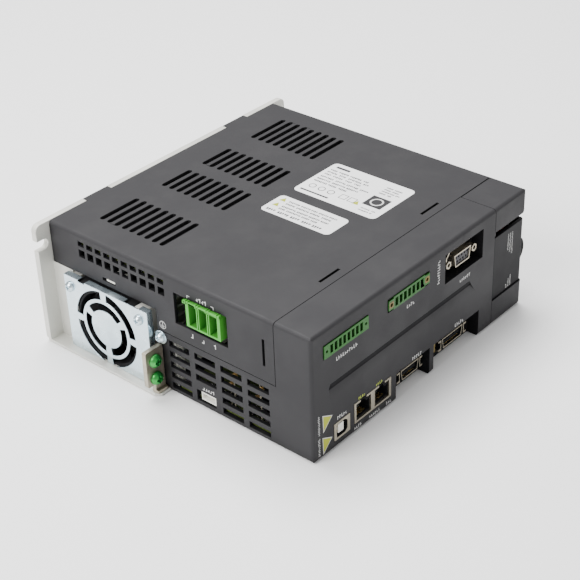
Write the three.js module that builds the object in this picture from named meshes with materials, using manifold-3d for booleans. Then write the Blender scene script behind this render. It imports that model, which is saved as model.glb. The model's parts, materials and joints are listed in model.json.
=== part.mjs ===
// Book-style servo drive, lying on its side as it is handed over.
//
// Frame, in millimetres: X runs along the drive's installed height, from the fan end (-X)
// to the display end (+X); Y runs from the front panel (-Y) to the mounting plate (+Y);
// Z is the drive's width, and the drive lies on the side whose face is at Z = 0.
// Every piece is modelled from the case corner (0, 0, 0), and one group shifts the whole
// drive so that the frame's origin is under the middle of it.

import * as THREE from 'three';
import { mergeVertices } from 'three/addons/utils/BufferGeometryUtils.js';
import Module from 'manifold-3d';

const wasm = await Module();
wasm.setup();

// ---------------------------------------------------------------- driving dimensions

const HEIGHT = 198.4; // case, fan end to display end, along X
const DEPTH = 196.8; // case, front panel to mounting plate, along Y
const WIDTH = 80; // case, along Z
const WALL = 2.2; // moulded walls
const EDGE_RADIUS = 2.4; // outer edges of the case
const SEAM = 0.3; // joint line between two mouldings
const FIT = 0.3; // clearance round a connector in its window
const HAIR = 0.05; // clearance between assembled metal and board faces

const FRONT_DEPTH = 24.8; // front moulding, back to the seam on the top
const SEAM_DROP = 40; // from the top face down to the seam on the end walls
const DISPLAY_LENGTH = 32.4; // display section, along X

const PLATE = 4; // mounting plate, thickness
const FLANGE = 10; // mounting plate beyond each end of the case
const PLATE_RADIUS = 4; // plate corners
const SLOT_WIDTH = 6.5; // mounting slots
const SLOT_REACH = 8; // mounting slots, from the plate's edge
const SLOT_DROP = 13.5; // from the top face down to the slots' centre line

const DUCT_FRONT = 106.5; // heat-sink floor starts here, along Y
const DUCT_CUT = 112; // case cut away for the duct beyond here, along Y
const DUCT_ABOVE_FAN = 2.7; // heat-sink roof's upper face above the fan
const DUCT_ROOF = 3.4; // heat-sink roof, thickness
const DUCT_FLOOR = 1.8; // heat-sink floor, thickness
const SHELF = 9.5; // heat-sink floor beyond the fan end of the case
const FIN = 1.8; // fin thickness
const FIN_GAP = 4.3; // air gap between fins

const FAN_SIZE = 48; // square fan frame
const FAN_DEPTH = 15; // fan frame, along X
const FAN_Y = 150.7; // fan axis
const FAN_RIM = 1.2; // fan frame beside its bore, at the thinnest place
const BLADE_GAP = 0.8; // blade tips to the bore
const SHEET = 0.8; // guard sheet metal
const GUARD_STANDOFF = 4; // guard plate in front of the case end

const EARTH_REACH = 14; // earth terminal in front of the fan end, along X
const HEADER_PROUD = 0.6; // signal headers in front of the front panel

const BOARD = 1.6; // printed circuit boards
const LOWER_BOARD = 5.2; // top face of the control board, along Z
const UPPER_BOARD_DROP = 8.8; // from the top face down to the upper boards' lower face

const KEY_TRAVEL = 0.7;
const KEY_RADIUS = 2.6;
const KEY_COUNT = 5;
const KEY_PITCH = 8;
const PIN_RADIUS = 0.9; // door hinge pin
const RUNNING = 0.06; // radial clearance of a turning fit

// ---------------------------------------------------------------- derived places

const TOP = WIDTH;
const DISPLAY_X = HEIGHT - DISPLAY_LENGTH;
const DISPLAY_DEPTH = FRONT_DEPTH - 0.4;
const SEAM_Z = TOP - SEAM_DROP;
const PLATE_Y = DEPTH + SEAM;
const BACK = PLATE_Y + PLATE;
const UPPER_BOARD = TOP - UPPER_BOARD_DROP;
const FAN_Z = DUCT_FLOOR + SEAM + FAN_SIZE / 2;
const FAN_LOW_Y = FAN_Y - FAN_SIZE / 2;
const FAN_HIGH_Y = FAN_Y + FAN_SIZE / 2;
const FAN_TUNNEL = FAN_SIZE / 2 - FAN_RIM; // bore of the fan frame, radius
const DUCT_TOP = FAN_Z + FAN_SIZE / 2 + DUCT_ABOVE_FAN;
const FAN_FRONT = -GUARD_STANDOFF + SEAM;
const FAN_BACK = FAN_FRONT + FAN_DEPTH;
const GUARD_TOP = FAN_Z + FAN_SIZE / 2 + SHEET + 0.9;
const CENTRE_X = (HEIGHT + FLANGE - EARTH_REACH) / 2;
const CENTRE_Y = (BACK - HEADER_PROUD) / 2;

// ---------------------------------------------------------------- finishes

const finish = (color, roughness, metalness = 0) => ({ color, roughness, metalness });
const CASE_PLASTIC = finish(0x49484a, 0.62);
const BLACK_PLASTIC = finish(0x17171a, 0.5);
const GREEN_PLASTIC = finish(0x4fae45, 0.45);
const CAST_METAL = finish(0xc9c9c4, 0.55, 0.6);
const ZINC_SHEET = finish(0xb9c4cc, 0.35, 0.9);
const NICKEL = finish(0xc2bba8, 0.35, 0.9);
const BOARD_GREEN = finish(0x1f5a34, 0.5);
const WHITE_PLASTIC = finish(0xe9e7de, 0.5);
const LABEL_WHITE = finish(0xe6e6e4, 0.7);
const LABEL_GREY = finish(0xcfcfcd, 0.7);
const GREEN_SCREW = finish(0x3f9a45, 0.4, 0.4);
const DARK_MODULE = finish(0x222226, 0.6);
const SLEEVE_BLUE = finish(0x2b3d63, 0.4);
const COPPER = finish(0xa8623a, 0.4, 0.8);
const KEY_GREY = finish(0xb5b5b2, 0.6);
const LAMP_RED = finish(0x9c1f1a, 0.3);
const DISPLAY_RED = finish(0x2a0d0e, 0.25);

// ---------------------------------------------------------------- solids

/** Closed solid of a three.js geometry, ready to be joined and cut. */
function solid(geometry) {
  geometry.deleteAttribute('normal');
  geometry.deleteAttribute('uv');
  const merged = mergeVertices(geometry, 1e-4);
  const mesh = new wasm.Mesh({
    numProp: 3,
    vertProperties: new Float32Array(merged.attributes.position.array),
    triVerts: new Uint32Array(merged.index.array),
  });
  return new wasm.Manifold(mesh);
}

/** Box between two corners. */
function block([x0, y0, z0], [x1, y1, z1]) {
  const geometry = new THREE.BoxGeometry(x1 - x0, y1 - y0, z1 - z0);
  geometry.translate((x0 + x1) / 2, (y0 + y1) / 2, (z0 + z1) / 2);
  return solid(geometry);
}

const UNIT_X = new THREE.Vector3(1, 0, 0);
const UNIT_Y = new THREE.Vector3(0, 1, 0);
const UNIT_Z = new THREE.Vector3(0, 0, 1);
const BASES = {
  X: new THREE.Matrix4().makeBasis(UNIT_Y, UNIT_Z, UNIT_X), // outline in (y, z)
  Y: new THREE.Matrix4().makeBasis(UNIT_X, UNIT_Z, UNIT_Y.clone().negate()), // in (x, z)
  Z: new THREE.Matrix4(), // in (x, y)
};

/** Outline drawn across an axis and extruded along it between two places. */
function prism(axis, outline, from, to, arcSteps = 2) {
  const geometry = new THREE.ExtrudeGeometry(outline, {
    depth: to - from,
    bevelEnabled: false,
    curveSegments: arcSteps,
  });
  geometry.applyMatrix4(BASES[axis]);
  const start = axis === 'X' ? [from, 0, 0] : axis === 'Y' ? [0, to, 0] : [0, 0, from];
  geometry.translate(...start);
  return solid(geometry);
}

/** Round bar along an axis; the centre is given in the two other axes, in X, Y, Z order. */
function rod(axis, radius, [a, b], from, to, sides = 20) {
  const geometry = new THREE.CylinderGeometry(radius, radius, to - from, sides);
  return placeTurned(geometry, axis, [a, b], (from + to) / 2);
}

/** Turned piece along an axis: the profile's points are [radius, place along the axis]. */
function turned(axis, profile, [a, b], sides = 20) {
  const points = profile.map(([radius, along]) => new THREE.Vector2(radius, along));
  return placeTurned(new THREE.LatheGeometry(points, sides), axis, [a, b], 0);
}

function placeTurned(geometry, axis, [a, b], along) {
  if (axis === 'X') geometry.rotateZ(-Math.PI / 2).translate(along, a, b);
  if (axis === 'Y') geometry.translate(a, along, b);
  if (axis === 'Z') geometry.rotateX(Math.PI / 2).translate(a, b, along);
  return solid(geometry);
}

/** Rectangle with rounded corners. */
function roundedRect(a0, b0, a1, b1, radius) {
  const shape = new THREE.Shape();
  shape.moveTo(a0 + radius, b0);
  shape.lineTo(a1 - radius, b0);
  shape.absarc(a1 - radius, b0 + radius, radius, -Math.PI / 2, 0);
  shape.lineTo(a1, b1 - radius);
  shape.absarc(a1 - radius, b1 - radius, radius, 0, Math.PI / 2);
  shape.lineTo(a0 + radius, b1);
  shape.absarc(a0 + radius, b1 - radius, radius, Math.PI / 2, Math.PI);
  shape.lineTo(a0, b0 + radius);
  shape.absarc(a0 + radius, b0 + radius, radius, Math.PI, 1.5 * Math.PI);
  return shape;
}

/** Straight-sided outline through the given points. */
function outlineOf(...points) {
  return new THREE.Shape(points.map(([a, b]) => new THREE.Vector2(a, b)));
}

/** Sector of a ring between two radii and two angles, in degrees. */
function ringSector(a, b, inner, outer, startDeg, endDeg) {
  const start = THREE.MathUtils.degToRad(startDeg);
  const end = THREE.MathUtils.degToRad(endDeg);
  const shape = new THREE.Shape();
  shape.absarc(a, b, outer, start, end, false);
  shape.absarc(a, b, inner, end, start, true);
  return shape;
}

const join = (first, ...others) => others.reduce((sum, part) => sum.add(part), first);
const cut = (body, ...tools) => tools.reduce((left, tool) => left.subtract(tool), body);
const range = (count) => Array.from({ length: count }, (_, index) => index);

// ---------------------------------------------------------------- scene graph

const drive = new THREE.Group();
drive.position.set(-CENTRE_X, -CENTRE_Y, 0);

/** Adds one named piece to the drive. */
function addPiece(name, body, { color, roughness, metalness }) {
  const { vertProperties, triVerts } = body.getMesh();
  const geometry = new THREE.BufferGeometry();
  geometry.setAttribute('position', new THREE.BufferAttribute(vertProperties, 3));
  geometry.setIndex(new THREE.BufferAttribute(triVerts, 1));
  geometry.computeVertexNormals();
  const material = new THREE.MeshStandardMaterial({ color, roughness, metalness });
  const mesh = new THREE.Mesh(geometry, material);
  mesh.name = name;
  drive.add(mesh);
}

// ---------------------------------------------------------------- case windows

// Each window is named once, and the connector behind it takes its place from the same value.

const SAFETY_HEADER = { x: 9.8, z: TOP - 17.2, length: 36.6, height: 8, poles: 8, pitch: 3.5 };
const IO_HEADER = { x: 68.2, z: TOP - 17, length: 28.2, height: 8, poles: 7, pitch: 3.81 };
const IO_EAR = 4.4; // screw ears of the input-output header, along X
const SERIAL_POCKET = { x: 116.4, z: TOP - 25.6, length: 37.2, height: 18.8 };
const ENCODER_POCKET = { x: 71.6, length: 31.6, height: 18.4 };
const IO_POCKET = { x: 107.2, length: 45.2, height: 18.4 };
const POCKET_DEPTH = 9;
const POCKET_WALL = 1.4;
const POCKET_FLOOR = 1.1;
const USB = { x: 17.2, z: LOWER_BOARD + HAIR, length: 13.2, height: 11.2 };
const NETWORK = { x: 34.4, z: 6.4, length: 32.4, height: 13.2 };
const MOTOR_WINDOW = { y: 58, z: TOP - 29.6, length: 39, height: 19.8 };
const SUPPLY_WINDOW = { y: 38, z: TOP - 29.6, length: 66, height: 19.8 };
const AUX_WINDOW = { y: 70, z: 4, length: 14.6, height: 7.2 };
const RATING_LABEL = { x: 114.4, y: 48.8, length: 41.6, width: 60.8, radius: 3.2 };
const CAUTION_LABEL = { x: 84.8, y: 58.4, length: 20.8, width: 51.2, radius: 3 };
const LABEL_RECESS = 0.25;
const LABEL_THICKNESS = 0.2;
const HOOKS = [30.4, 152]; // catches over the mounting plate, along X
const HOOK_LENGTH = 19.4;

// ---------------------------------------------------------------- case

/** Outer form of the closed case, with rounded edges and a square back. */
function caseForm() {
  const past = DEPTH + 10;
  const endView = prism('X', roundedRect(0, 0, past, WIDTH, EDGE_RADIUS), 0, HEIGHT);
  const frontView = prism('Y', roundedRect(0, 0, HEIGHT, WIDTH, EDGE_RADIUS), 0, DEPTH);
  const topView = prism('Z', roundedRect(0, 0, HEIGHT, past, EDGE_RADIUS), 0, WIDTH);
  return endView.intersect(frontView).intersect(topView);
}

/** Walls of the case, open at the back. */
function caseWalls() {
  const inside = block([WALL, WALL, WALL], [HEIGHT - WALL, DEPTH + 1, WIDTH - WALL]);
  return cut(caseForm(), inside);
}

/** Rows of rounded slots through the top face or the underside. */
function slotGroup(xFrom, xTo, firstY, count, z0, z1) {
  const slotWidth = 3.3;
  const slotPitch = 6.05;
  const slots = range(count).map((index) => {
    const y = firstY + index * slotPitch;
    const outline = roundedRect(xFrom, y - slotWidth / 2, xTo, y + slotWidth / 2, slotWidth / 2 - 0.01);
    return prism('Z', outline, z0, z1, 1);
  });
  return join(...slots);
}

/** Ten by two square vents near the top edge of an end wall. */
function gridVents(x0, x1) {
  const columns = 10;
  const firstY = 104.2;
  const pitch = 7.08;
  const width = 4.8;
  const rows = [
    [TOP - 8, TOP - 4.8],
    [TOP - 15.2, TOP - 10.4],
  ];
  const cells = range(columns).flatMap((column) => {
    const y = firstY + column * pitch;
    return rows.map(([z0, z1]) => block([x0, y, z0], [x1, y + width, z1]));
  });
  return join(...cells);
}

/** Louvre openings in the lower part of an end wall; one column can stop above a socket. */
function louvres(x0, x1, shortColumn) {
  const width = 15.4;
  const height = 4;
  const columnCentres = range(4).map((column) => 96.2 - column * 19.5);
  const rowCentres = range(5).map((row) => 34 - row * 7.1);
  const openings = columnCentres.flatMap((y, column) =>
    rowCentres
      .filter((z, row) => column !== shortColumn || row < 3)
      .map((z) => block([x0, y - width / 2, z - height / 2], [x1, y + width / 2, z + height / 2])),
  );
  return join(...openings);
}

/** Rectangular hole through the front panel, for a window given as { x, z, length, height }. */
function frontHole({ x, z, length, height }) {
  return block([x - FIT, -1, z - FIT], [x + length + FIT, WALL + 1, z + height + FIT]);
}

/** Side cover: top face, upper end walls, slots, grids and the catches at the back. */
function sideCover() {
  const region = outlineOf(
    [FRONT_DEPTH + SEAM, TOP + 1],
    [FRONT_DEPTH + SEAM, SEAM_Z + SEAM],
    [DUCT_CUT + SEAM, SEAM_Z + SEAM],
    [DUCT_CUT + SEAM, DUCT_TOP + SEAM],
    [DEPTH, DUCT_TOP + SEAM],
    [DEPTH, TOP + 1],
  );
  const walls = caseWalls().intersect(prism('X', region, -1, HEIGHT + 1));
  const hooks = HOOKS.map((x) =>
    block([x, DEPTH - 4, TOP - WALL], [x + HOOK_LENGTH, BACK - SEAM, TOP]),
  );
  const z0 = TOP - WALL - 1;
  const z1 = TOP + 1;
  const slots = join(
    slotGroup(20, 50.4, 125.6, 9, z0, z1),
    slotGroup(70.4, 95.2, 125.6, 9, z0, z1),
    slotGroup(105.6, 130.8, 125.6, 9, z0, z1),
    slotGroup(150.4, 182.4, 125.6, 9, z0, z1),
  );
  const slits = join(
    block([136, 30.4, z0], [152.8, 32, z1]),
    block([44.8, 30.4, z0], [61.6, 32, z1]),
    block([-1, 31.6, TOP - 30], [WALL + 1, 33.2, TOP - 13.2]),
    block([-1, 144, DUCT_TOP + 3.2], [WALL + 1, 154.4, DUCT_TOP + 5.2]),
  );
  return cut(
    join(walls, ...hooks),
    slots,
    slits,
    gridVents(-1, WALL + 1),
    gridVents(HEIGHT - WALL - 1, HEIGHT + 1),
    endHole(MOTOR_WINDOW, -1, WALL + 1),
    endHole(SUPPLY_WINDOW, HEIGHT - WALL - 1, HEIGHT + 1),
    labelRecess(RATING_LABEL),
    labelRecess(CAUTION_LABEL),
  );
}

/** Rectangular hole through an end wall, for a window given as { y, z, length, height }. */
function endHole({ y, z, length, height }, x0, x1) {
  return block([x0, y, z], [x1, y + length, z + height]);
}

function labelOutline({ x, y, length, width, radius }, margin) {
  const grown = radius + margin;
  return roundedRect(x - margin, y - margin, x + length + margin, y + width + margin, grown);
}

function labelRecess(label) {
  return prism('Z', labelOutline(label, 0.1), TOP - LABEL_RECESS, TOP + 1);
}

function labelSheet(label) {
  const z0 = TOP - LABEL_RECESS + 0.02;
  return prism('Z', labelOutline(label, 0), z0, z0 + LABEL_THICKNESS);
}

/** Long grip groove: a steep upper wall, and a lower face that curves back to the panel. */
function gripGroove() {
  const depth = 2.1;
  const low = SEAM_Z - 5.6;
  const high = SEAM_Z + 3.9;
  const steps = 8;
  const curve = range(steps + 1).map((index) => {
    const share = index / steps;
    return [depth * share * share, low + (high - low) * share];
  });
  const section = outlineOf([-1, low], ...curve, [-1, high + 0.7]);
  const plan = outlineOf(
    [15.6, low - 1],
    [14, low + 3],
    [13.4, high - 2],
    [15.2, high + 1],
    [140.6, high + 1],
    [148, low - 1],
  );
  return prism('X', section, 10, 150).intersect(prism('Y', plan, -2, 3));
}

/** Solid round a connector pocket, running back from the front panel. */
function pocketBlank({ x, z = 0, length, height }) {
  const z0 = Math.max(0, z - POCKET_WALL);
  return block(
    [x - POCKET_WALL, WALL / 2, z0],
    [x + length + POCKET_WALL, POCKET_DEPTH, z + height + POCKET_WALL],
  );
}

/** Hollow of a pocket; a pocket without a z of its own is open on the underside. */
function pocketSpace({ x, z = -1, length, height }) {
  const z1 = Math.max(0, z) + height;
  return block([x, -1, z], [x + length, POCKET_DEPTH - POCKET_FLOOR, z1]);
}

/** Front moulding: front panel, its rim, the lower end walls and the lower part of the floor. */
function frontHousing() {
  const region = outlineOf(
    [-1, -1],
    [DUCT_CUT, -1],
    [DUCT_CUT, SEAM_Z],
    [FRONT_DEPTH, SEAM_Z],
    [FRONT_DEPTH, TOP + 1],
    [-1, TOP + 1],
  );
  const walls = caseWalls().intersect(prism('X', region, -1, HEIGHT + 1));
  const displaySpace = block([DISPLAY_X, -1, -1], [HEIGHT + 1, DISPLAY_DEPTH + SEAM, TOP + 1]);
  const ductSpace = block([-1, DUCT_FRONT - SEAM, -1], [HEIGHT + 1, DEPTH, DUCT_FLOOR + SEAM]);
  const grooveBacking = block([12, WALL - 0.5, SEAM_Z - 7], [150, WALL + 2, SEAM_Z + 6]);
  const body = join(
    cut(walls, displaySpace, ductSpace),
    grooveBacking,
    pocketBlank(SERIAL_POCKET),
    pocketBlank(ENCODER_POCKET),
    pocketBlank(IO_POCKET),
  );
  const ioWindow = {
    ...IO_HEADER,
    x: IO_HEADER.x - IO_EAR,
    length: IO_HEADER.length + 2 * IO_EAR,
  };
  return cut(
    body,
    gripGroove(),
    pocketSpace(SERIAL_POCKET),
    pocketSpace(ENCODER_POCKET),
    pocketSpace(IO_POCKET),
    serialHole(),
    halfPitchHole(ENCODER_X, ENCODER_SHELL),
    halfPitchHole(IO_X, IO_SHELL),
    frontHole(SAFETY_HEADER),
    frontHole(ioWindow),
    frontHole(USB),
    frontHole(NETWORK),
    louvres(-1, WALL + 1, 1),
    louvres(HEIGHT - WALL - 1, HEIGHT + 1, -1),
    endHole(AUX_WINDOW, -1, WALL + 1),
    slotGroup(40, 70, 40, 9, -1, WALL + 1),
    slotGroup(90, 120, 40, 9, -1, WALL + 1),
    slotGroup(140, 170, 40, 9, -1, WALL + 1),
  );
}

// ---------------------------------------------------------------- display section

const BAY_LOW = 17.2; // bay for the door, along Z
const BAY_HIGH = 64.6;
const BAY_FLOOR = 10.5; // bay floor's front face, along Y
const BAY_WALL = 1.8;
const DOOR_FACE = 0.8; // door face behind the front panel, along Y
const DOOR_THICKNESS = 2;
const DOOR_LOW = BAY_LOW + 0.5;
const DOOR_HIGH = BAY_HIGH - 4.6; // leaves a finger gap over the door
const HINGE_X = DISPLAY_X + 3;
const HINGE_Y = 2.6;
const BARREL_RADIUS = 1.7;
const WINDOW = { x: DISPLAY_X + 17.5, z: 20.8, length: 11.6, height: 38.8 };
const KEY_X = DISPLAY_X + 8.6;
const KEY_FIRST_Z = (BAY_LOW + BAY_HIGH) / 2 + (KEY_PITCH * (KEY_COUNT - 1)) / 2;
const KEY_FLANGE = KEY_RADIUS + 0.7;
const KEY_BOARD_Y = BAY_FLOOR + 4.6;
const LAMP = { x: DISPLAY_X + 13.6, z: 59.2, radius: 1.5 };

const keyZ = (index) => KEY_FIRST_Z - index * KEY_PITCH;

/** Frame round the door bay, hollow and open at the back. */
function displayFrame() {
  const x0 = DISPLAY_X + SEAM;
  const outer = caseForm().intersect(block([x0, -1, -1], [HEIGHT + 1, DISPLAY_DEPTH, TOP + 1]));
  const hollow = block(
    [x0 + BAY_WALL, WALL, WALL],
    [HEIGHT - WALL, DISPLAY_DEPTH + 1, TOP - WALL],
  );
  const bayShell = block(
    [x0, 0.6, BAY_LOW - BAY_WALL],
    [HEIGHT - 0.4, BAY_FLOOR + BAY_WALL, BAY_HIGH + BAY_WALL],
  );
  const baySpace = block([x0 - 1, -1, BAY_LOW], [HEIGHT + 1, BAY_FLOOR, BAY_HIGH]);
  const chamfer = prism(
    'Y',
    outlineOf([HEIGHT - 4, BAY_HIGH - 1], [HEIGHT + 1, BAY_HIGH + 2.4], [HEIGHT + 1, BAY_HIGH - 1]),
    -1,
    BAY_FLOOR,
  );
  const pinHole = rod('Z', PIN_RADIUS + HAIR, [HINGE_X, HINGE_Y], BAY_LOW - 1.5, BAY_HIGH + 1.5);
  const keyHoles = range(KEY_COUNT).map((index) =>
    rod('Y', KEY_RADIUS + 0.2, [KEY_X, keyZ(index)], BAY_FLOOR - 1, BAY_FLOOR + BAY_WALL + 1),
  );
  const windowHole = block(
    [WINDOW.x, BAY_FLOOR - 1, WINDOW.z],
    [WINDOW.x + WINDOW.length, BAY_FLOOR + BAY_WALL + 1, WINDOW.z + WINDOW.height],
  );
  const lampHole = rod('Y', LAMP.radius + 0.15, [LAMP.x, LAMP.z], BAY_FLOOR - 1, BAY_FLOOR + 4, 12);
  return cut(
    join(cut(outer, hollow), bayShell),
    baySpace,
    chamfer,
    pinHole,
    ...keyHoles,
    windowHole,
    lampHole,
  );
}

/** Flip-open door: a plate on a hinge barrel, an end lip and a half-round finger tab. */
function displayDoor() {
  const end = HEIGHT - 0.2;
  const back = BAY_FLOOR - 0.5;
  const plateBack = DOOR_FACE + DOOR_THICKNESS;
  const blank = block([DISPLAY_X + 0.9, DOOR_FACE, DOOR_LOW], [end, plateBack, DOOR_HIGH]);
  const lip = block([end - DOOR_THICKNESS, DOOR_FACE, DOOR_LOW], [end, back, DOOR_HIGH]);
  const outline = roundedRect(DISPLAY_X - 10, DOOR_FACE, end, 40, 2);
  const form = prism('Z', outline, DOOR_LOW, DOOR_HIGH);
  const barrel = rod('Z', BARREL_RADIUS, [HINGE_X, HINGE_Y], DOOR_LOW, DOOR_HIGH, 16);
  const bore = rod('Z', PIN_RADIUS + RUNNING, [HINGE_X, HINGE_Y], DOOR_LOW - 1, DOOR_HIGH + 1);
  const tabReach = 3.2;
  const tabRadius = 9.7;
  const tabZ = (DOOR_LOW + DOOR_HIGH) / 2;
  const tabDisc = rod('Y', tabRadius, [end + tabReach - tabRadius, tabZ], 1.6, 3.6, 32);
  const tabLimit = block([end - 1, 0, DOOR_LOW], [end + tabReach + 1, 5, DOOR_HIGH]);
  const panel = join(blank, lip).intersect(form);
  return cut(join(panel, barrel, tabDisc.intersect(tabLimit)), bore);
}

function hingePin() {
  return rod('Z', PIN_RADIUS, [HINGE_X, HINGE_Y], BAY_LOW - 1.4, BAY_HIGH + 1.4);
}

/** Key cap with a flange behind the bay floor and a stem that presses the switch. */
function keyCap(index) {
  const centre = [KEY_X, keyZ(index)];
  const flangeY = BAY_FLOOR + BAY_WALL + 0.2;
  return join(
    rod('Y', KEY_RADIUS, centre, BAY_FLOOR - 2.6, flangeY + 0.1, 16),
    rod('Y', KEY_FLANGE, centre, flangeY, flangeY + 0.7, 16),
    rod('Y', 1.1, centre, flangeY + 0.6, KEY_BOARD_Y - KEY_TRAVEL - 0.2, 8),
  );
}

function digitDisplay() {
  const slack = 0.25;
  return block(
    [WINDOW.x + slack, BAY_FLOOR - 0.8, WINDOW.z + slack],
    [WINDOW.x + WINDOW.length - slack, KEY_BOARD_Y - HAIR, WINDOW.z + WINDOW.height - slack],
  );
}

function keypadBoard() {
  return block(
    [DISPLAY_X + 3, KEY_BOARD_Y, WALL + 2],
    [HEIGHT - WALL - 1, KEY_BOARD_Y + BOARD, TOP - WALL - 2],
  );
}

function chargeLamp() {
  const top = BAY_FLOOR - 1;
  const base = KEY_BOARD_Y - HAIR;
  const radius = LAMP.radius;
  const profile = [
    [0, top],
    [radius * 0.75, top + 0.4],
    [radius, top + 1.2],
    [radius, base],
    [0, base],
  ];
  return turned('Y', profile, [LAMP.x, LAMP.z], 12);
}

// ---------------------------------------------------------------- heat sink, fan and guard

const GUARD_SCREW_Z = FAN_Z + FAN_SIZE / 2 - 5.4;
const GUARD_SCREWS = [
  [FAN_LOW_Y - 4.9, GUARD_SCREW_Z],
  [FAN_HIGH_Y + 3.9, GUARD_SCREW_Z],
];

/** Die-cast heat sink: mounting plate with slotted flanges, duct floor and roof, and fins. */
function heatSink() {
  const x0 = -FLANGE;
  const x1 = HEIGHT + FLANGE;
  const plate = prism('Y', roundedRect(x0, 0, x1, TOP, PLATE_RADIUS), PLATE_Y, BACK);
  const floorOutline = outlineOf(
    [-SHELF, BACK - 1],
    [-SHELF, DUCT_FRONT + 3],
    [-SHELF + 3, DUCT_FRONT],
    [HEIGHT, DUCT_FRONT],
    [HEIGHT, BACK - 1],
  );
  const floor = prism('Z', floorOutline, 0, DUCT_FLOOR);
  const finX = FAN_BACK + 4;
  const finEnd = HEIGHT - 1;
  const roofLow = DUCT_TOP - DUCT_ROOF;
  const roof = block([finX, 116, roofLow], [finEnd, BACK - 1, DUCT_TOP]);
  const finPitch = FIN + FIN_GAP;
  const finCount = Math.floor((roofLow - DUCT_FLOOR) / finPitch);
  const fins = range(finCount).map((index) => {
    const z = DUCT_FLOOR + FIN_GAP + index * finPitch;
    return block([finX, 122, z], [finEnd, BACK - 1, z + FIN]);
  });
  const postBack = FAN_BACK + 4.5;
  const postTop = GUARD_TOP - SHEET - SEAM;
  const posts = [
    [FAN_LOW_Y - 8.6, FAN_LOW_Y - SEAM],
    [FAN_HIGH_Y + SEAM, FAN_HIGH_Y + 6.6],
  ].map(([y0, y1]) => block([FAN_FRONT, y0, 0], [postBack, y1, postTop]));
  const endWall = block([0, FAN_HIGH_Y + 6, 0], [postBack, BACK - 1, DUCT_TOP]);
  const slotZ = TOP - SLOT_DROP;
  const slots = [
    [x0 - 5, x0 + SLOT_REACH],
    [x1 - SLOT_REACH, x1 + 5],
  ].map(([a, b]) => {
    const half = SLOT_WIDTH / 2;
    const outline = roundedRect(a, slotZ - half, b, slotZ + half, half - 0.01);
    return prism('Y', outline, PLATE_Y - 1, BACK + 1, 4);
  });
  const hookNotches = HOOKS.map((x) =>
    block([x - FIT, PLATE_Y - 1, TOP - WALL - FIT], [x + HOOK_LENGTH + FIT, BACK + 1, TOP + 1]),
  );
  const screwHoles = GUARD_SCREWS.map(([y, z]) => rod('X', 1.6, [y, z], FAN_FRONT - 1, 6, 12));
  const casting = join(plate, floor, roof, endWall, ...fins, ...posts);
  return cut(casting, ...slots, ...hookNotches, ...screwHoles);
}

/** Square fan frame with its round tunnel and the spider that carries the motor. */
function fanFrame() {
  const half = FAN_SIZE / 2;
  const centre = [FAN_Y, FAN_Z];
  const outline = roundedRect(FAN_Y - half, FAN_Z - half, FAN_Y + half, FAN_Z + half, 2);
  const body = prism('X', outline, FAN_FRONT, FAN_BACK);
  const tunnel = rod('X', FAN_TUNNEL, centre, FAN_FRONT - 1, FAN_BACK + 1, 40);
  const hub = rod('X', 10, centre, FAN_BACK - 2, FAN_BACK, 24);
  const arms = range(3).map((index) => {
    const arm = new THREE.BoxGeometry(1.6, FAN_TUNNEL + 0.6, 3);
    arm.translate(0, FAN_TUNNEL / 2 + 0.3, 0);
    arm.rotateX((index * 2 * Math.PI) / 3);
    arm.translate(FAN_BACK - 1, FAN_Y, FAN_Z);
    return solid(arm);
  });
  const bearing = rod('X', 1.5 + RUNNING, centre, FAN_BACK - 3, FAN_BACK - 0.6, 16);
  const holeOut = half - 4;
  const cornerHoles = [-1, 1].flatMap((sideY) =>
    [-1, 1].map((sideZ) => {
      const hole = [FAN_Y + sideY * holeOut, FAN_Z + sideZ * holeOut];
      return rod('X', 1.9, hole, FAN_FRONT - 1, FAN_BACK + 1, 10);
    }),
  );
  return cut(join(cut(body, tunnel, ...cornerHoles), hub, ...arms), bearing);
}

/** Fan rotor: hub, shaft and seven pitched blades. */
function fanRotor() {
  const centre = [FAN_Y, FAN_Z];
  const front = FAN_FRONT + 1;
  const back = FAN_BACK - 2.6;
  const tip = FAN_TUNNEL - BLADE_GAP;
  const blades = range(7).map((index) => {
    const blade = new THREE.BoxGeometry(0.9, tip - 8, 10.5);
    blade.translate(0, (tip + 8) / 2, 0);
    blade.rotateY(THREE.MathUtils.degToRad(48));
    blade.rotateX((index * 2 * Math.PI) / 7);
    blade.translate((front + back) / 2, FAN_Y, FAN_Z);
    return solid(blade);
  });
  const sweep = rod('X', tip, centre, front, back, 40);
  const hub = rod('X', 10.6, centre, front, back, 28);
  const shaft = rod('X', 1.5, centre, back - 1, FAN_BACK - 0.8, 16);
  return join(join(...blades).intersect(sweep), hub, shaft);
}

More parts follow.
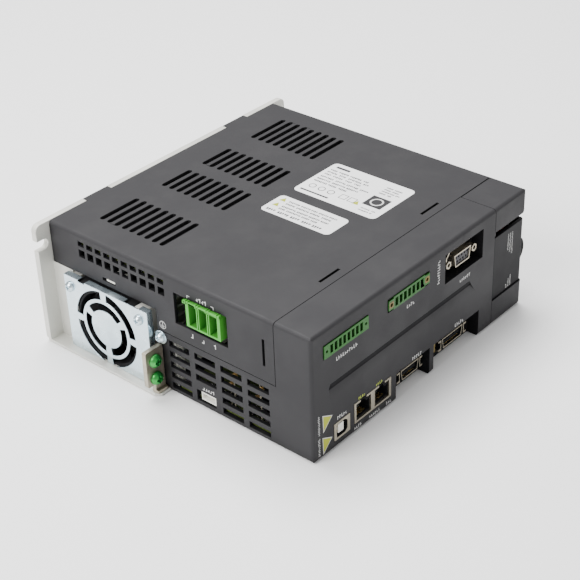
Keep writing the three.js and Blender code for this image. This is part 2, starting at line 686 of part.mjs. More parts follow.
/** Sheet-metal finger guard: a plate with ring slots, bent back at the sides and the top. */
function fanGuard() {
  const x0 = -GUARD_STANDOFF - SHEET;
  const x1 = -GUARD_STANDOFF;
  const flangeEnd = -0.5;
  const y0 = FAN_LOW_Y - 11.8;
  const y1 = FAN_HIGH_Y + 8.6;
  const z0 = DUCT_FLOOR + 0.2;
  const z1 = GUARD_TOP;
  const plate = block([x0, y0, z0], [x1, y1, z1]);
  const sides = [y0, y1 - SHEET].map((y) => block([x0, y, z0], [flangeEnd, y + SHEET, z1]));
  const topFlange = block([x0, y0, z1 - SHEET], [flangeEnd, y1, z1]);
  const flangeGaps = [
    [y0 + 7, y0 + 19, x1],
    [y0 + 51, y0 + 56.6, x0 - 1],
  ].map(([a, b, x]) => block([x, a, z1 - SHEET - 0.4], [0, b, z1 + 1]));
  const ring = (inner, outer, spokes, gapDeg, turnDeg) =>
    range(spokes).map((index) => {
      const start = turnDeg + (index * 360) / spokes + gapDeg / 2;
      const end = start + 360 / spokes - gapDeg;
      return prism('X', ringSector(FAN_Y, FAN_Z, inner, outer, start, end), x0 - 1, x1 + 1, 6);
    });
  const screwHoles = GUARD_SCREWS.map(([y, z]) => rod('X', 1.9, [y, z], x0 - 1, x1 + 1, 12));
  const outerSlot = FAN_TUNNEL + 1.8;
  const innerSlot = FAN_TUNNEL - 5.7;
  return cut(
    join(plate, ...sides, topFlange),
    ...flangeGaps,
    ...ring(outerSlot - 5.2, outerSlot, 4, 12, 0),
    ...ring(innerSlot - 4.8, innerSlot, 3, 18, 30),
    ...screwHoles,
  );
}

/** Pan-head screw along an axis; the head stands from face towards -side. */
function panScrew(axis, centre, face, headRadius, shankRadius, shankLength) {
  const headHeight = headRadius * 0.75;
  const profile = [
    [0, face - headHeight],
    [headRadius * 0.55, face - headHeight],
    [headRadius * 0.9, face - headHeight * 0.6],
    [headRadius, face - headHeight * 0.2],
    [headRadius, face],
    [shankRadius, face],
    [shankRadius, face + shankLength],
    [0, face + shankLength],
  ];
  const recess = headHeight * 0.5;
  const crossLength = headRadius * 1.1;
  const crossWidth = headRadius * 0.26;
  const top = face - headHeight;
  const bars = [
    [crossLength, crossWidth],
    [crossWidth, crossLength],
  ].map(([da, db]) => {
    const half = [da / 2, db / 2];
    const [a, b] = centre;
    return axis === 'X'
      ? block([top - 1, a - half[0], b - half[1]], [top + recess, a + half[0], b + half[1]])
      : block([a - half[0], top - 1, b - half[1]], [a + half[0], top + recess, b + half[1]]);
  });
  return cut(turned(axis, profile, centre, 18), ...bars);
}

const EARTH = { x0: -EARTH_REACH, x1: -0.6, y0: 109, y1: 112, z0: 8, z1: 31.6 };
const EARTH_SCREWS = [24, 12.2];
const EARTH_X = -7.4;

/** Earth terminal: an upright lug on a foot, tapped for two earth screws. */
function earthTerminal() {
  const { x0, x1, y0, y1, z0, z1 } = EARTH;
  const lug = prism('Y', roundedRect(x0, z0, x1, z1, 1), y0, y1);
  const foot = block([-8.4, 107.2, DUCT_FLOOR + 0.1], [x1, y1, z0 + 1]);
  const heel = block([-8.4, y1 - 0.5, DUCT_FLOOR + 0.1], [x1, y1, z0 + 2]);
  const relief = block([-9.4, y0 - 4, DUCT_FLOOR + 2], [x1 + 1, y0, z0 + 1.5]);
  const holes = EARTH_SCREWS.map((z) => rod('Y', 2.1, [EARTH_X, z], y0 - 1, y1 + 1, 16));
  return cut(join(lug, foot, heel), relief, ...holes);
}

const earthScrew = (z) => panScrew('Y', [EARTH_X, z], EARTH.y0 - HAIR, 4.2, 2, 2.8);

const CASE_SCREW = [109.4, SEAM_Z - 3.8]; // silver earth screw on the end wall, (y, z)
const WASHER = { radius: 4.2, thickness: 0.8 };

function caseScrew() {
  return panScrew('X', CASE_SCREW, -WASHER.thickness - 2 * HAIR, 3.2, 1.6, 6);
}

function caseWasher() {
  const disc = rod('X', WASHER.radius, CASE_SCREW, -WASHER.thickness - HAIR, -HAIR, 24);
  return cut(disc, rod('X', 1.9, CASE_SCREW, -3, 1, 16));
}

const caseScrewHole = () => rod('X', 1.8, CASE_SCREW, -1, WALL + 1, 12);

// ---------------------------------------------------------------- connectors

/** Green pluggable header in the front panel: one slot for each pole. */
function poleHeader({ x, z, length, height, poles, pitch }, ear, screwInset) {
  const front = -HEADER_PROUD;
  const back = 14;
  const slotDepth = 8;
  const slotWidth = pitch - 1.4;
  const rim = 1.5;
  const centreX = x + length / 2;
  const body = block([x, front, z], [x + length, back, z + height]);
  const ears = block([x - ear, front, z + 0.8], [x + length + ear, back, z + height - 0.8]);
  const slots = range(poles).map((index) => {
    const middle = centreX + (index - (poles - 1) / 2) * pitch;
    return block(
      [middle - slotWidth / 2, front - 1, z + rim],
      [middle + slotWidth / 2, slotDepth, z + height - rim],
    );
  });
  const screwX = [x - ear + screwInset, x + length + ear - screwInset];
  const screws = screwX.map((place) => rod('Y', ear > 0 ? 1.5 : 0.8, [place, z + height / 2], -2, 6, 12));
  return cut(ear > 0 ? join(body, ears) : body, ...slots, ...screws);
}

const POWER_PITCH = 7.62;
const CELL_WALL = 0.75;
const CELL_GAP = 0.62; // groove between the walls of neighbouring cells

/** Green power header: open cells side by side under a toothed rail that the plug locks on. */
function powerHeader({ y, z, height }, poles, outward) {
  const length = poles * POWER_PITCH + 2.4;
  const front = 1.8;
  const back = -12;
  const railHeight = 1.9;
  const railLow = z + height - railHeight;
  const railTop = z + height;
  const railBack = 0.2;
  const railFront = front + 0.3;
  const cell = POWER_PITCH - 2 * CELL_WALL - CELL_GAP;
  const cellStart = (index) =>
    y + length / 2 + (index - (poles - 1) / 2) * POWER_PITCH - cell / 2;
  const bodyPart = block([back, y, z], [front, y + length, railLow + 1.2]);
  const cells = range(poles).map((index) =>
    block([back + 2, cellStart(index), z + 1.2], [front + 1, cellStart(index) + cell, railLow]),
  );
  const grooves = range(poles - 1).map((index) => {
    const start = cellStart(index) + cell + CELL_WALL;
    return block([front - 3, start, z + CELL_WALL], [front + 1, start + CELL_GAP, railLow]);
  });
  const rail = block([railBack, y + 0.6, railLow], [railFront, y + length + 2, railTop]);
  const toothPairs = range(poles + 1).map((index) => cellStart(index) - CELL_WALL - CELL_GAP / 2);
  const teeth = toothPairs.flatMap((middle) =>
    [middle - 1.3, middle + 0.5].map((start) =>
      block([railBack, start, railLow + 0.4], [railFront + 0.3, start + 0.8, railTop + 0.6]),
    ),
  );
  const body = cut(join(bodyPart, rail, ...teeth), ...cells, ...grooves);
  return outward > 0 ? body.translate([HEIGHT, 0, 0]) : body.mirror([1, 0, 0]);
}

const powerPlace = (y) => ({ y, z: MOTOR_WINDOW.z + 3.4, height: 16.2 });
const MOTOR_HEADER = powerPlace(MOTOR_WINDOW.y + 3.2);
const MAINS_HEADER = powerPlace(SUPPLY_WINDOW.y + 3);
const REGEN_HEADER = powerPlace(SUPPLY_WINDOW.y + 34);

const D_SHELL = { length: 16.4, height: 8.2, wall: 0.8 };
const SERIAL_X = SERIAL_POCKET.x + 18.8;
const SERIAL_Z = SERIAL_POCKET.z + 8.6;
const SERIAL_FLANGE_Y = POCKET_DEPTH - POCKET_FLOOR - 0.9;
const SERIAL_BODY = { half: 9.5, drop: 5.2 };
const JACK_PITCH = 24.99;
const JACK_RADIUS = 2.6;
const JACK_STEM = 1.5;

const serialJackX = (side) => SERIAL_X + (side * JACK_PITCH) / 2;

/** Holes in the serial pocket's floor for the connector's body and its two jackscrews. */
function serialHole() {
  const y0 = POCKET_DEPTH - POCKET_FLOOR - 0.5;
  const y1 = POCKET_DEPTH + 1;
  const { half, drop } = SERIAL_BODY;
  const body = block(
    [SERIAL_X - half - FIT, y0, SERIAL_Z - drop - FIT],
    [SERIAL_X + half + FIT, y1, UPPER_BOARD + FIT],
  );
  const stems = [-1, 1].map((side) =>
    rod('Y', JACK_STEM + FIT, [serialJackX(side), SERIAL_Z], y0, y1, 12),
  );
  return join(body, ...stems);
}

/** Outline of a D-shaped shell in (x, z), wider on the upper side. */
function dOutline(x, z, length, height) {
  const slope = height * 0.18;
  return outlineOf(
    [x - length / 2 + slope, z - height / 2],
    [x + length / 2 - slope, z - height / 2],
    [x + length / 2, z + height / 2],
    [x - length / 2, z + height / 2],
  );
}

/** Metal of the serial port: flange, D-shaped shell and a bent earthing lip over it. */
function serialConnector() {
  const { length, height, wall } = D_SHELL;
  const flangeY = SERIAL_FLANGE_Y;
  const front = flangeY - 5.6;
  const lipY = flangeY - 5;
  const left = SERIAL_X - 15.4;
  const lipTop = SERIAL_Z + 8.8;
  const flange = block(
    [left, flangeY, SERIAL_Z - 6.2],
    [SERIAL_X + 15.4, flangeY + 0.8, SERIAL_Z + 6.2],
  );
  const lipOutline = outlineOf(
    [left, SERIAL_Z + 3.4],
    [left + 0.8, SERIAL_Z + 3.4],
    [left + 0.8, SERIAL_Z + 5.2],
    [left + 3.6, SERIAL_Z + 8],
    [SERIAL_X + 8, SERIAL_Z + 8],
    [SERIAL_X + 8, lipTop],
    [left + 3.2, lipTop],
    [left, SERIAL_Z + 5.6],
  );
  const lip = prism('Y', lipOutline, lipY, flangeY + 0.4);
  const tie = block([left + 3.6, flangeY, SERIAL_Z + 5], [SERIAL_X + 8, flangeY + 0.8, lipTop]);
  const shell = prism('Y', dOutline(SERIAL_X, SERIAL_Z, length, height), front, flangeY + 0.4);
  const hollow = prism(
    'Y',
    dOutline(SERIAL_X, SERIAL_Z, length - 2 * wall, height - 2 * wall),
    front - 1,
    flangeY + 2,
  );
  const jackHoles = [-1, 1].map((side) =>
    rod('Y', JACK_STEM + 0.2, [serialJackX(side), SERIAL_Z], flangeY - 2, flangeY + 2, 12),
  );
  return cut(join(flange, tie, lip, shell), hollow, ...jackHoles);
}

/** Moulded insert of the serial port: a face with nine contact holes, and the body behind. */
function serialInsert() {
  const { length, height, wall } = D_SHELL;
  const flangeY = SERIAL_FLANGE_Y;
  const front = flangeY - 4.9;
  const bodyY = flangeY + 0.8 + HAIR;
  const inset = 2 * wall + 0.3;
  const face = prism(
    'Y',
    dOutline(SERIAL_X, SERIAL_Z, length - inset, height - inset),
    front,
    bodyY + 0.2,
  );
  const body = block(
    [SERIAL_X - SERIAL_BODY.half, bodyY, SERIAL_Z - SERIAL_BODY.drop],
    [SERIAL_X + SERIAL_BODY.half, bodyY + 11, UPPER_BOARD - HAIR],
  );
  const contactPitch = 2.77;
  const rows = [
    [5, 1.42],
    [4, -1.42],
  ];
  const contacts = rows.flatMap(([count, rise]) =>
    range(count).map((index) => {
      const x = SERIAL_X + (index - (count - 1) / 2) * contactPitch;
      return rod('Y', 0.75, [x, SERIAL_Z + rise], front - 1, flangeY - 1, 8);
    }),
  );
  return cut(join(face, body), ...contacts);
}

/** Hexagonal jackscrew with its threaded hole. */
function jackscrew(side) {
  const centre = [serialJackX(side), SERIAL_Z];
  const flangeY = SERIAL_FLANGE_Y;
  const hex = rod('Y', JACK_RADIUS, centre, flangeY - 5, flangeY - HAIR, 6);
  const stem = rod('Y', JACK_STEM, centre, flangeY - 1, flangeY + 4, 12);
  return cut(join(hex, stem), rod('Y', 1.3, centre, flangeY - 6, flangeY - 1, 12));
}

const HALF_PITCH = { rise: 5.2, height: 7, wall: 0.7, front: 3, shoulder: 5, headroom: 1.4 };
const ENCODER_X = ENCODER_POCKET.x + 16.8;
const ENCODER_SHELL = 16.8;
const IO_X = IO_POCKET.x + 22.8;
const IO_SHELL = 20.4;

/** Hole in a pocket's floor for the body of a half-pitch port. */
function halfPitchHole(centreX, shellLength) {
  const { rise, height, shoulder, headroom } = HALF_PITCH;
  const half = shellLength / 2 + shoulder + FIT;
  const top = LOWER_BOARD + rise + height / 2 + headroom + FIT;
  return block(
    [centreX - half, POCKET_DEPTH - POCKET_FLOOR - 0.5, LOWER_BOARD - BOARD - FIT],
    [centreX + half, POCKET_DEPTH + 1, top],
  );
}

const HALF_PITCH_BASE = POCKET_DEPTH - 1;

/** Metal of a half-pitch port: D-shaped shell and two latch ears on one flange. */
function halfPitchShell(centreX, shellLength) {
  const { rise, height, wall, front } = HALF_PITCH;
  const z = LOWER_BOARD + rise;
  const base = HALF_PITCH_BASE;
  const half = shellLength / 2;
  const shell = prism('Y', dOutline(centreX, z, shellLength, height), front, base);
  const hollow = prism(
    'Y',
    dOutline(centreX, z, shellLength - 2 * wall, height - 2 * wall),
    front - 1,
    base + 1,
  );
  const flange = block(
    [centreX - half - 3.8, base - 0.8, z - height / 2 - 0.4],
    [centreX + half + 3.8, base, z + height / 2 + 0.4],
  );
  const ears = [-1, 1].map((side) => {
    const places = [centreX + side * (half + 0.9), centreX + side * (half + 3.6)];
    const low = Math.min(...places);
    const high = Math.max(...places);
    return block([low, front, z - height / 2], [high, base, z + height / 2]);
  });
  const earCuts = [-1, 1].map((side) => {
    const places = [centreX + side * (half + 1.5), centreX + side * (half + 4)];
    const low = Math.min(...places);
    const high = Math.max(...places);
    return block([low, front - 1, z - 2.3], [high, base - 1, z + 2.3]);
  });
  return cut(join(shell, flange, ...ears), hollow, ...earCuts);
}

/** Moulding of a half-pitch port: the contact tongue and the body behind the flange. */
function halfPitchBody(centreX, shellLength) {
  const { rise, height, front, shoulder, headroom } = HALF_PITCH;
  const z = LOWER_BOARD + rise;
  const bodyY = HALF_PITCH_BASE + HAIR;
  const half = shellLength / 2;
  const tongueHalf = half - 2.6;
  const tongue = block(
    [centreX - tongueHalf, front + 0.8, z - 1],
    [centreX + tongueHalf, bodyY + 1, z + 1],
  );
  const body = block(
    [centreX - half - shoulder, bodyY, LOWER_BOARD + HAIR],
    [centreX + half + shoulder, bodyY + 12, z + height / 2 + headroom],
  );
  return join(tongue, body);
}

/** Square device port: mouth with two cut corners and a thick contact tongue. */
function usbSocket() {
  const { x, z, length, height } = USB;
  const front = -0.2;
  const body = block([x, front, z], [x + length, 16, z + height]);
  const mouthX = x + 2;
  const mouthZ = z + height / 2;
  const mouth = outlineOf(
    [mouthX, mouthZ - 4.3],
    [mouthX + 7, mouthZ - 4.3],
    [mouthX + 9, mouthZ - 2.5],
    [mouthX + 9, mouthZ + 2.5],
    [mouthX + 7, mouthZ + 4.3],
    [mouthX, mouthZ + 4.3],
  );
  const tongue = block([mouthX + 2, front + 0.8, mouthZ - 2.8], [mouthX + 6.6, 10, mouthZ + 2.8]);
  return join(cut(body, prism('Y', mouth, front - 1, 9)), tongue);
}

const PORT = { width: 12.8, rim: 1.2, depth: 13.2 };
const PORT_X = [NETWORK.x + 1.6, NETWORK.x + 17.8];

/** Metal shell over the two modular jacks, with a gap in its rim above each latch. */
function networkSockets() {
  const { x, z, length, height } = NETWORK;
  const front = -0.2;
  const { width, rim, depth } = PORT;
  const shell = block([x, front, z], [x + length, 21, z + height]);
  const feet = block([x + 1, 4, LOWER_BOARD + HAIR], [x + length - 1, 20, z + 0.5]);
  const mouths = PORT_X.map((portX) => {
    const space = block([portX, front - 1, z + rim], [portX + width, depth, z + height - rim]);
    const middle = portX + width / 2;
    const gap = block([middle - 2.6, front - 1, z + height - rim - 0.1], [middle + 2.6, 4, z + height + 1]);
    return join(space, gap);
  });
  return cut(join(shell, feet), ...mouths);
}

/** Moulded jack inside the shell: the plug's mouth with a stepped latch notch, upwards. */
function networkInsert(portX) {
  const { z, height } = NETWORK;
  const { width, rim, depth } = PORT;
  const gap = 0.1;
  const body = block(
    [portX + gap, 0.9, z + rim + gap],
    [portX + width - gap, depth - gap, z + height - rim - gap],
  );
  const middle = portX + width / 2;
  const steps = [
    [5.85, 2, 8.8, 12],
    [3.1, 8.7, 10.2, 9],
    [2.1, 10.1, 11.2, 9],
  ];
  const mouth = steps.map(([half, z0, z1, y1]) =>
    block([middle - half, 0, z + z0], [middle + half, y1, z + z1]),
  );
  return cut(body, join(...mouth));
}

/** White crimp-connector header behind the lower end wall. */
function auxConnector() {
  const y0 = AUX_WINDOW.y + 0.6;
  const body = block([0.6, y0, LOWER_BOARD + HAIR], [9, y0 + 11, LOWER_BOARD + 5.6]);
  const mouth = block([-1, y0 + 0.8, LOWER_BOARD + 1], [7, y0 + 10.2, LOWER_BOARD + 4.4]);
  return cut(body, mouth);
}

/** White fan plug behind the end wall, its latch showing in the slot there. */
function fanConnector() {
  const body = block([WALL + 0.4, 144.4, DUCT_TOP + 0.1], [11, 152.4, DUCT_TOP + 5]);
  const latch = block([0.5, 144.9, DUCT_TOP + 3.5], [WALL + 0.5, 151.6, DUCT_TOP + 4.9]);
  return join(body, latch);
}

// ---------------------------------------------------------------- inside the case

/** Lower board, notched round the display section. */
function controlBoard() {
  const front = POCKET_DEPTH + 0.4;
  const step = DISPLAY_DEPTH + 1.6;
  const outline = outlineOf(
    [WALL + 0.6, front],
    [DISPLAY_X - 1, front],
    [DISPLAY_X - 1, step],
    [HEIGHT - WALL - 1, step],
    [HEIGHT - WALL - 1, 100],
    [WALL + 0.6, 100],
  );
  return prism('Z', outline, LOWER_BOARD - BOARD, LOWER_BOARD);
}

/** Upper front board, behind the headers and beside the display section. */
function interfaceBoard() {
  return block([6, POCKET_DEPTH + 0.4, UPPER_BOARD], [DISPLAY_X - 3, 56, UPPER_BOARD + BOARD]);
}

function powerBoard() {
  return block([WALL + 1, 58, UPPER_BOARD], [HEIGHT - WALL - 1, DEPTH - 6, UPPER_BOARD + BOARD]);
}

/** Radial capacitor can hanging from the power board, with a rolled groove near its base. */
function busCapacitor(x, y) {
  const top = UPPER_BOARD - HAIR;
  const radius = 12.5;
  const length = 46;
  const profile = [
    [0, top - length],
    [radius - 1, top - length],
    [radius, top - length + 1],
    [radius, top - 5],
    [radius - 0.9, top - 4.2],
    [radius - 0.9, top - 3.4],
    [radius, top - 2.6],
    [radius, top],
    [0, top],
  ];
  return turned('Z', profile, [x, y], 28);
}

const POWER_MODULE = { x0: 34, x1: 96, y0: 132, y1: 172 };
const RECTIFIER = { x0: 118, x1: 150, y0: 136, y1: 164 };

/** Flat power module screwed on the duct roof, with a row of pins up to the power board. */
function powerModule({ x0, x1, y0, y1 }, thickness) {
  const z0 = DUCT_TOP + HAIR;
  const slab = block([x0, y0, z0], [x1, y1, z0 + thickness]);
  const pinRail = block([x0 + 4, y0 + 2, z0 + thickness - 1], [x1 - 4, y0 + 5, UPPER_BOARD - HAIR]);
  const notches = [x0, x1].map((x) => rod('Z', 2.2, [x, (y0 + y1) / 2], z0 - 1, z0 + thickness + 1, 12));
  return cut(join(slab, pinRail), ...notches);
}

/** Common-mode choke: a wound ring standing on the power board. */
function lineChoke() {
  const centre = [HEIGHT - 26.4, 92];
  const z0 = UPPER_BOARD - 18;
  const ring = cut(
    rod('Z', 13, centre, z0, UPPER_BOARD - 2, 28),
    rod('Z', 5.5, centre, z0 - 1, UPPER_BOARD - 1, 20),
  );
  const [x, y] = centre;
  const base = block([x - 14, y - 14, UPPER_BOARD - 2.6], [x + 14, y + 14, UPPER_BOARD - HAIR]);
  return join(ring, base);
}

function inrushRelay() {
  return block([140, 170, UPPER_BOARD - 15.4], [168, 184, UPPER_BOARD - HAIR]);
}

/** White ceramic discharge resistor, standing on the case floor beside the louvres. */
function dischargeResistor() {
  return block([4, 103, WALL + HAIR], [10, 107.4, SEAM_Z - 2]);
}

/** Stacking connector between the control board and the interface board. */
function boardStack() {
  return block([100, 40, LOWER_BOARD + HAIR], [140, 46, UPPER_BOARD - HAIR]);
}

/** Hexagonal pillar that carries the upper boards from the control board. */
function boardPillar(x, y) {
  return rod('Z', 3, [x, y], LOWER_BOARD + HAIR, UPPER_BOARD - HAIR, 6);
}

/** Flat cable: a plug on the keypad board, a drop, and a run back to the control board. */
function keypadCable() {
  const y0 = KEY_BOARD_Y + BOARD + HAIR;
  const plugY = DISPLAY_DEPTH + 7;
  const x0 = HEIGHT - WALL - 16;
  const x1 = x0 + 12;
  const runZ = LOWER_BOARD + 4;
  const upperPlug = block([x0 - 1, y0, 14], [x1 + 1, y0 + 3, 19]);
  const drop = block([x0, y0 + 0.9, runZ], [x1, y0 + 2.1, 16]);
  const run = block([x0, y0 + 0.9, runZ], [x1, plugY + 2, runZ + 1.2]);
  const lowerPlug = block([x0 - 1, plugY, LOWER_BOARD + HAIR], [x1 + 1, plugY + 5, runZ + 2]);
  return join(upperPlug, drop, run, lowerPlug);
}

// ---------------------------------------------------------------- assembly

addPiece('heat_sink', heatSink(), CAST_METAL);
addPiece('front_housing', cut(frontHousing(), caseScrewHole()), CASE_PLASTIC);
addPiece('side_cover', sideCover(), CASE_PLASTIC);
addPiece('rating_label', labelSheet(RATING_LABEL), LABEL_WHITE);
addPiece('caution_label', labelSheet(CAUTION_LABEL), LABEL_GREY);

addPiece('display_frame', displayFrame(), CASE_PLASTIC);
addPiece('display_door', displayDoor(), BLACK_PLASTIC);
addPiece('door_hinge_pin', hingePin(), NICKEL);
addPiece('digit_display', digitDisplay(), DISPLAY_RED);
addPiece('keypad_board', keypadBoard(), BOARD_GREEN);
addPiece('keypad_cable', keypadCable(), LABEL_GREY);
addPiece('charge_lamp', chargeLamp(), LAMP_RED);
['mode_key', 'shift_key', 'up_key', 'down_key', 'set_key'].forEach((name, index) => {
  addPiece(name, keyCap(index), KEY_GREY);
});

addPiece('fan_frame', fanFrame(), BLACK_PLASTIC);
addPiece('fan_rotor', fanRotor(), BLACK_PLASTIC);
addPiece('fan_guard', fanGuard(), ZINC_SHEET);
GUARD_SCREWS.forEach((centre, index) => {
  const face = -GUARD_STANDOFF - SHEET - HAIR;
  addPiece(`guard_screw_${index + 1}`, panScrew('X', centre, face, 3.2, 1.5, 8), ZINC_SHEET);
});
addPiece('earth_terminal', earthTerminal(), NICKEL);
EARTH_SCREWS.forEach((z, index) => {
  addPiece(`earth_screw_${index + 1}`, earthScrew(z), GREEN_SCREW);
});
addPiece('case_screw', caseScrew(), ZINC_SHEET);
addPiece('case_washer', caseWasher(), ZINC_SHEET);

addPiece('safety_header', poleHeader(SAFETY_HEADER, 0, 2.2), GREEN_PLASTIC);
addPiece('io_header', poleHeader(IO_HEADER, IO_EAR, 2.4), GREEN_PLASTIC);
addPiece('serial_connector', serialConnector(), NICKEL);
addPiece('serial_insert', serialInsert(), BLACK_PLASTIC);
addPiece('jackscrew_1', jackscrew(-1), NICKEL);
addPiece('jackscrew_2', jackscrew(1), NICKEL);
addPiece('encoder_connector', halfPitchShell(ENCODER_X, ENCODER_SHELL), NICKEL);
addPiece('encoder_body', halfPitchBody(ENCODER_X, ENCODER_SHELL), BLACK_PLASTIC);
addPiece('io_connector', halfPitchShell(IO_X, IO_SHELL), NICKEL);
addPiece('io_body', halfPitchBody(IO_X, IO_SHELL), BLACK_PLASTIC);
addPiece('usb_socket', usbSocket(), NICKEL);
addPiece('network_sockets', networkSockets(), NICKEL);
PORT_X.forEach((portX, index) => {
  addPiece(`network_insert_${index + 1}`, networkInsert(portX), BLACK_PLASTIC);
});
addPiece('motor_header', powerHeader(MOTOR_HEADER, 3, -1), GREEN_PLASTIC);
addPiece('mains_header', powerHeader(MAINS_HEADER, 3, 1), GREEN_PLASTIC);
addPiece('regen_header', powerHeader(REGEN_HEADER, 3, 1), GREEN_PLASTIC);
addPiece('aux_connector', auxConnector(), WHITE_PLASTIC);
addPiece('fan_connector', fanConnector(), WHITE_PLASTIC);

addPiece('control_board', controlBoard(), BOARD_GREEN);
addPiece('interface_board', interfaceBoard(), BOARD_GREEN);
addPiece('power_board', powerBoard(), BOARD_GREEN);
addPiece('board_stack', boardStack(), BLACK_PLASTIC);
addPiece('board_pillar_1', boardPillar(30, 50), NICKEL);
addPiece('board_pillar_2', boardPillar(154, 50), NICKEL);
[46, 78, 110].forEach((x, index) => {
  addPiece(`bus_capacitor_${index + 1}`, busCapacitor(x, 84), SLEEVE_BLUE);
});
addPiece('power_module', powerModule(POWER_MODULE, 9), DARK_MODULE);
addPiece('rectifier_module', powerModule(RECTIFIER, 7), DARK_MODULE);
addPiece('inrush_relay', inrushRelay(), DARK_MODULE);
addPiece('line_choke', lineChoke(), COPPER);
addPiece('discharge_resistor', dischargeResistor(), WHITE_PLASTIC);

export default drive;
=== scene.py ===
# %% [markdown]
# # A servo drive, dressed for a studio picture
# The drive's shape, joints and sizes come from its CAD model, which loads here as a fixed frame.
# This lesson adds what a camera would see: soft edges, moulded and cast finishes, printed marks,
# contacts, blades and small parts. Everything is in metres, in the CAD model's own frame.

# %% Load the frame
import json
import math
import random

import bmesh
import bpy
from mathutils import Matrix, Vector


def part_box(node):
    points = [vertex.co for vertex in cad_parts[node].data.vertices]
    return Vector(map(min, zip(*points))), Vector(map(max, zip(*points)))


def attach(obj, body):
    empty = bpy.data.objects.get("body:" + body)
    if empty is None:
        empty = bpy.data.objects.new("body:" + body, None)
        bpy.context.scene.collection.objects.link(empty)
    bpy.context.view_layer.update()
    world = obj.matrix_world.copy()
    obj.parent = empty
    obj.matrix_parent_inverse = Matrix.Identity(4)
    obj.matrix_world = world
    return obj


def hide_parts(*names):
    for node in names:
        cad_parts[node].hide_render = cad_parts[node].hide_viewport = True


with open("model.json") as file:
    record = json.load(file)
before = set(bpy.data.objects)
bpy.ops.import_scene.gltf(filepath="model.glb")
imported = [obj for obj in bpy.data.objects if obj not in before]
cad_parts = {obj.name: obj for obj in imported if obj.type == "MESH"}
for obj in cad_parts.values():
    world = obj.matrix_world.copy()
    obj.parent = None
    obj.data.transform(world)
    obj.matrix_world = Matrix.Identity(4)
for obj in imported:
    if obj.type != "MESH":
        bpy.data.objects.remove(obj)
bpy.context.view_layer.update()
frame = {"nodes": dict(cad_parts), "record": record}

MM = 0.001
scene = bpy.context.scene

# %% [markdown]
# ## Camera
# The drive is seen from above its front corner, through a lens of about 87 mm. The camera is
# placed by its distance, its bearing and its height, and rolled a little, as a hand-held one is. A
# small shift slides the picture on the sensor without turning the camera.

# %% Camera
LENS = 87.17
CAMERA_AT = Vector((-531.7, -475.65, 478.4)) * MM
BEARING = math.radians(-48.22)
HEIGHT_ANGLE = math.radians(31.93)
ROLL = math.radians(-2.2)
SHIFT = (0.0025, -0.0309)

camera_data = bpy.data.cameras.new("camera")
camera_data.lens = LENS
camera_data.sensor_width = 36
camera_data.shift_x, camera_data.shift_y = SHIFT
camera_data.clip_start = 0.01
camera = bpy.data.objects.new("camera", camera_data)
scene.collection.objects.link(camera)
scene.camera = camera
back = Vector((
    math.sin(BEARING) * math.cos(HEIGHT_ANGLE),
    -math.cos(BEARING) * math.cos(HEIGHT_ANGLE),
    math.sin(HEIGHT_ANGLE),
))
camera.rotation_mode = "QUATERNION"
turn = (-back).to_track_quat("-Z", "Y")
camera.rotation_quaternion = turn @ Matrix.Rotation(ROLL, 4, "Z").to_quaternion()
camera.location = CAMERA_AT
print("camera at", tuple(round(v, 3) for v in CAMERA_AT))

# %% [markdown]
# ## Studio
# A pale floor that meets a pale surround gives a plain picture with a soft contact shadow. One
# large soft light stands on the fan side, a weaker one in front, and the surround fills the rest.

# %% Setting the sockets of a node
def set_inputs(node, **values):
    """Sets a node's own sockets; an underscore in a label stands for a space."""
    for label, value in values.items():
        node.inputs[label.replace("_", " ")].default_value = value
    return node


# %% Floor and lights
FLOOR_SIZE = 6.0
FLOOR_GREY = (0.93, 0.93, 0.93, 1)
SURROUND_STRENGTH = 0.75


def link(name, mesh):
    piece = bpy.data.objects.new(name, mesh)
    scene.collection.objects.link(piece)
    return piece


def flat_mesh(name, points):
    mesh = bpy.data.meshes.new(name)
    mesh.from_pydata(points, [], [list(range(len(points)))])
    return mesh


half = FLOOR_SIZE / 2
corners = [(-half, -half, 0), (half, -half, 0), (half, half, 0), (-half, half, 0)]
floor = link("floor", flat_mesh("floor", corners))
floor.location.z = -0.0002
floor_material = bpy.data.materials.new("pale floor")
floor_material.use_nodes = True
floor_shader = floor_material.node_tree.nodes["Principled BSDF"]
set_inputs(floor_shader, Base_Color=FLOOR_GREY, Roughness=0.7)
floor.data.materials.append(floor_material)

world = bpy.data.worlds.new("surround")
scene.world = world
world.use_nodes = True
sky = world.node_tree.nodes["Background"]
set_inputs(sky, Color=(1.0, 1.0, 1.0, 1), Strength=SURROUND_STRENGTH)


def soft_light(name, place, aim, width, power):
    data = bpy.data.lights.new(name, "AREA")
    data.shape = "RECTANGLE"
    data.size = width
    data.size_y = width * 0.7
    data.energy = power
    lamp = bpy.data.objects.new(name, data)
    scene.collection.objects.link(lamp)
    lamp.location = place
    lamp.rotation_mode = "QUATERNION"
    lamp.rotation_quaternion = (Vector(aim) - Vector(place)).to_track_quat("-Z", "Y")
    return lamp


soft_light("fan side light", (-1.1, 0.25, 1.05), (0, 0, 0.03), 0.9, 26)
soft_light("top light", (0.2, 0.5, 1.5), (0, 0, 0.04), 1.2, 46)
soft_light("front light", (-0.3, -1.5, 0.6), (0, 0, 0.04), 0.8, 1)

# %% [markdown]
# ## Places on the drive
# Every place is measured from the case's lowest corner, in millimetres, as on a drawing. Two small
# functions turn a place on a face into a point in space, so a mark or a part can be laid out flat
# on the front panel or on the fan end.

# %% Measuring from the case corner
CASE_CORNER = Vector(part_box("front_housing")[0])
TOP_Z = (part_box("side_cover")[1][2] - CASE_CORNER.z) / MM
CASE_LENGTH = (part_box("front_housing")[1][0] - CASE_CORNER.x) / MM


def at(x, y, z):
    return CASE_CORNER + Vector((x, y, z)) * MM


def on_front(across, up, out):
    return at(across, -out, up)


def on_fan_end(across, up, out):
    return at(-out, across, up)


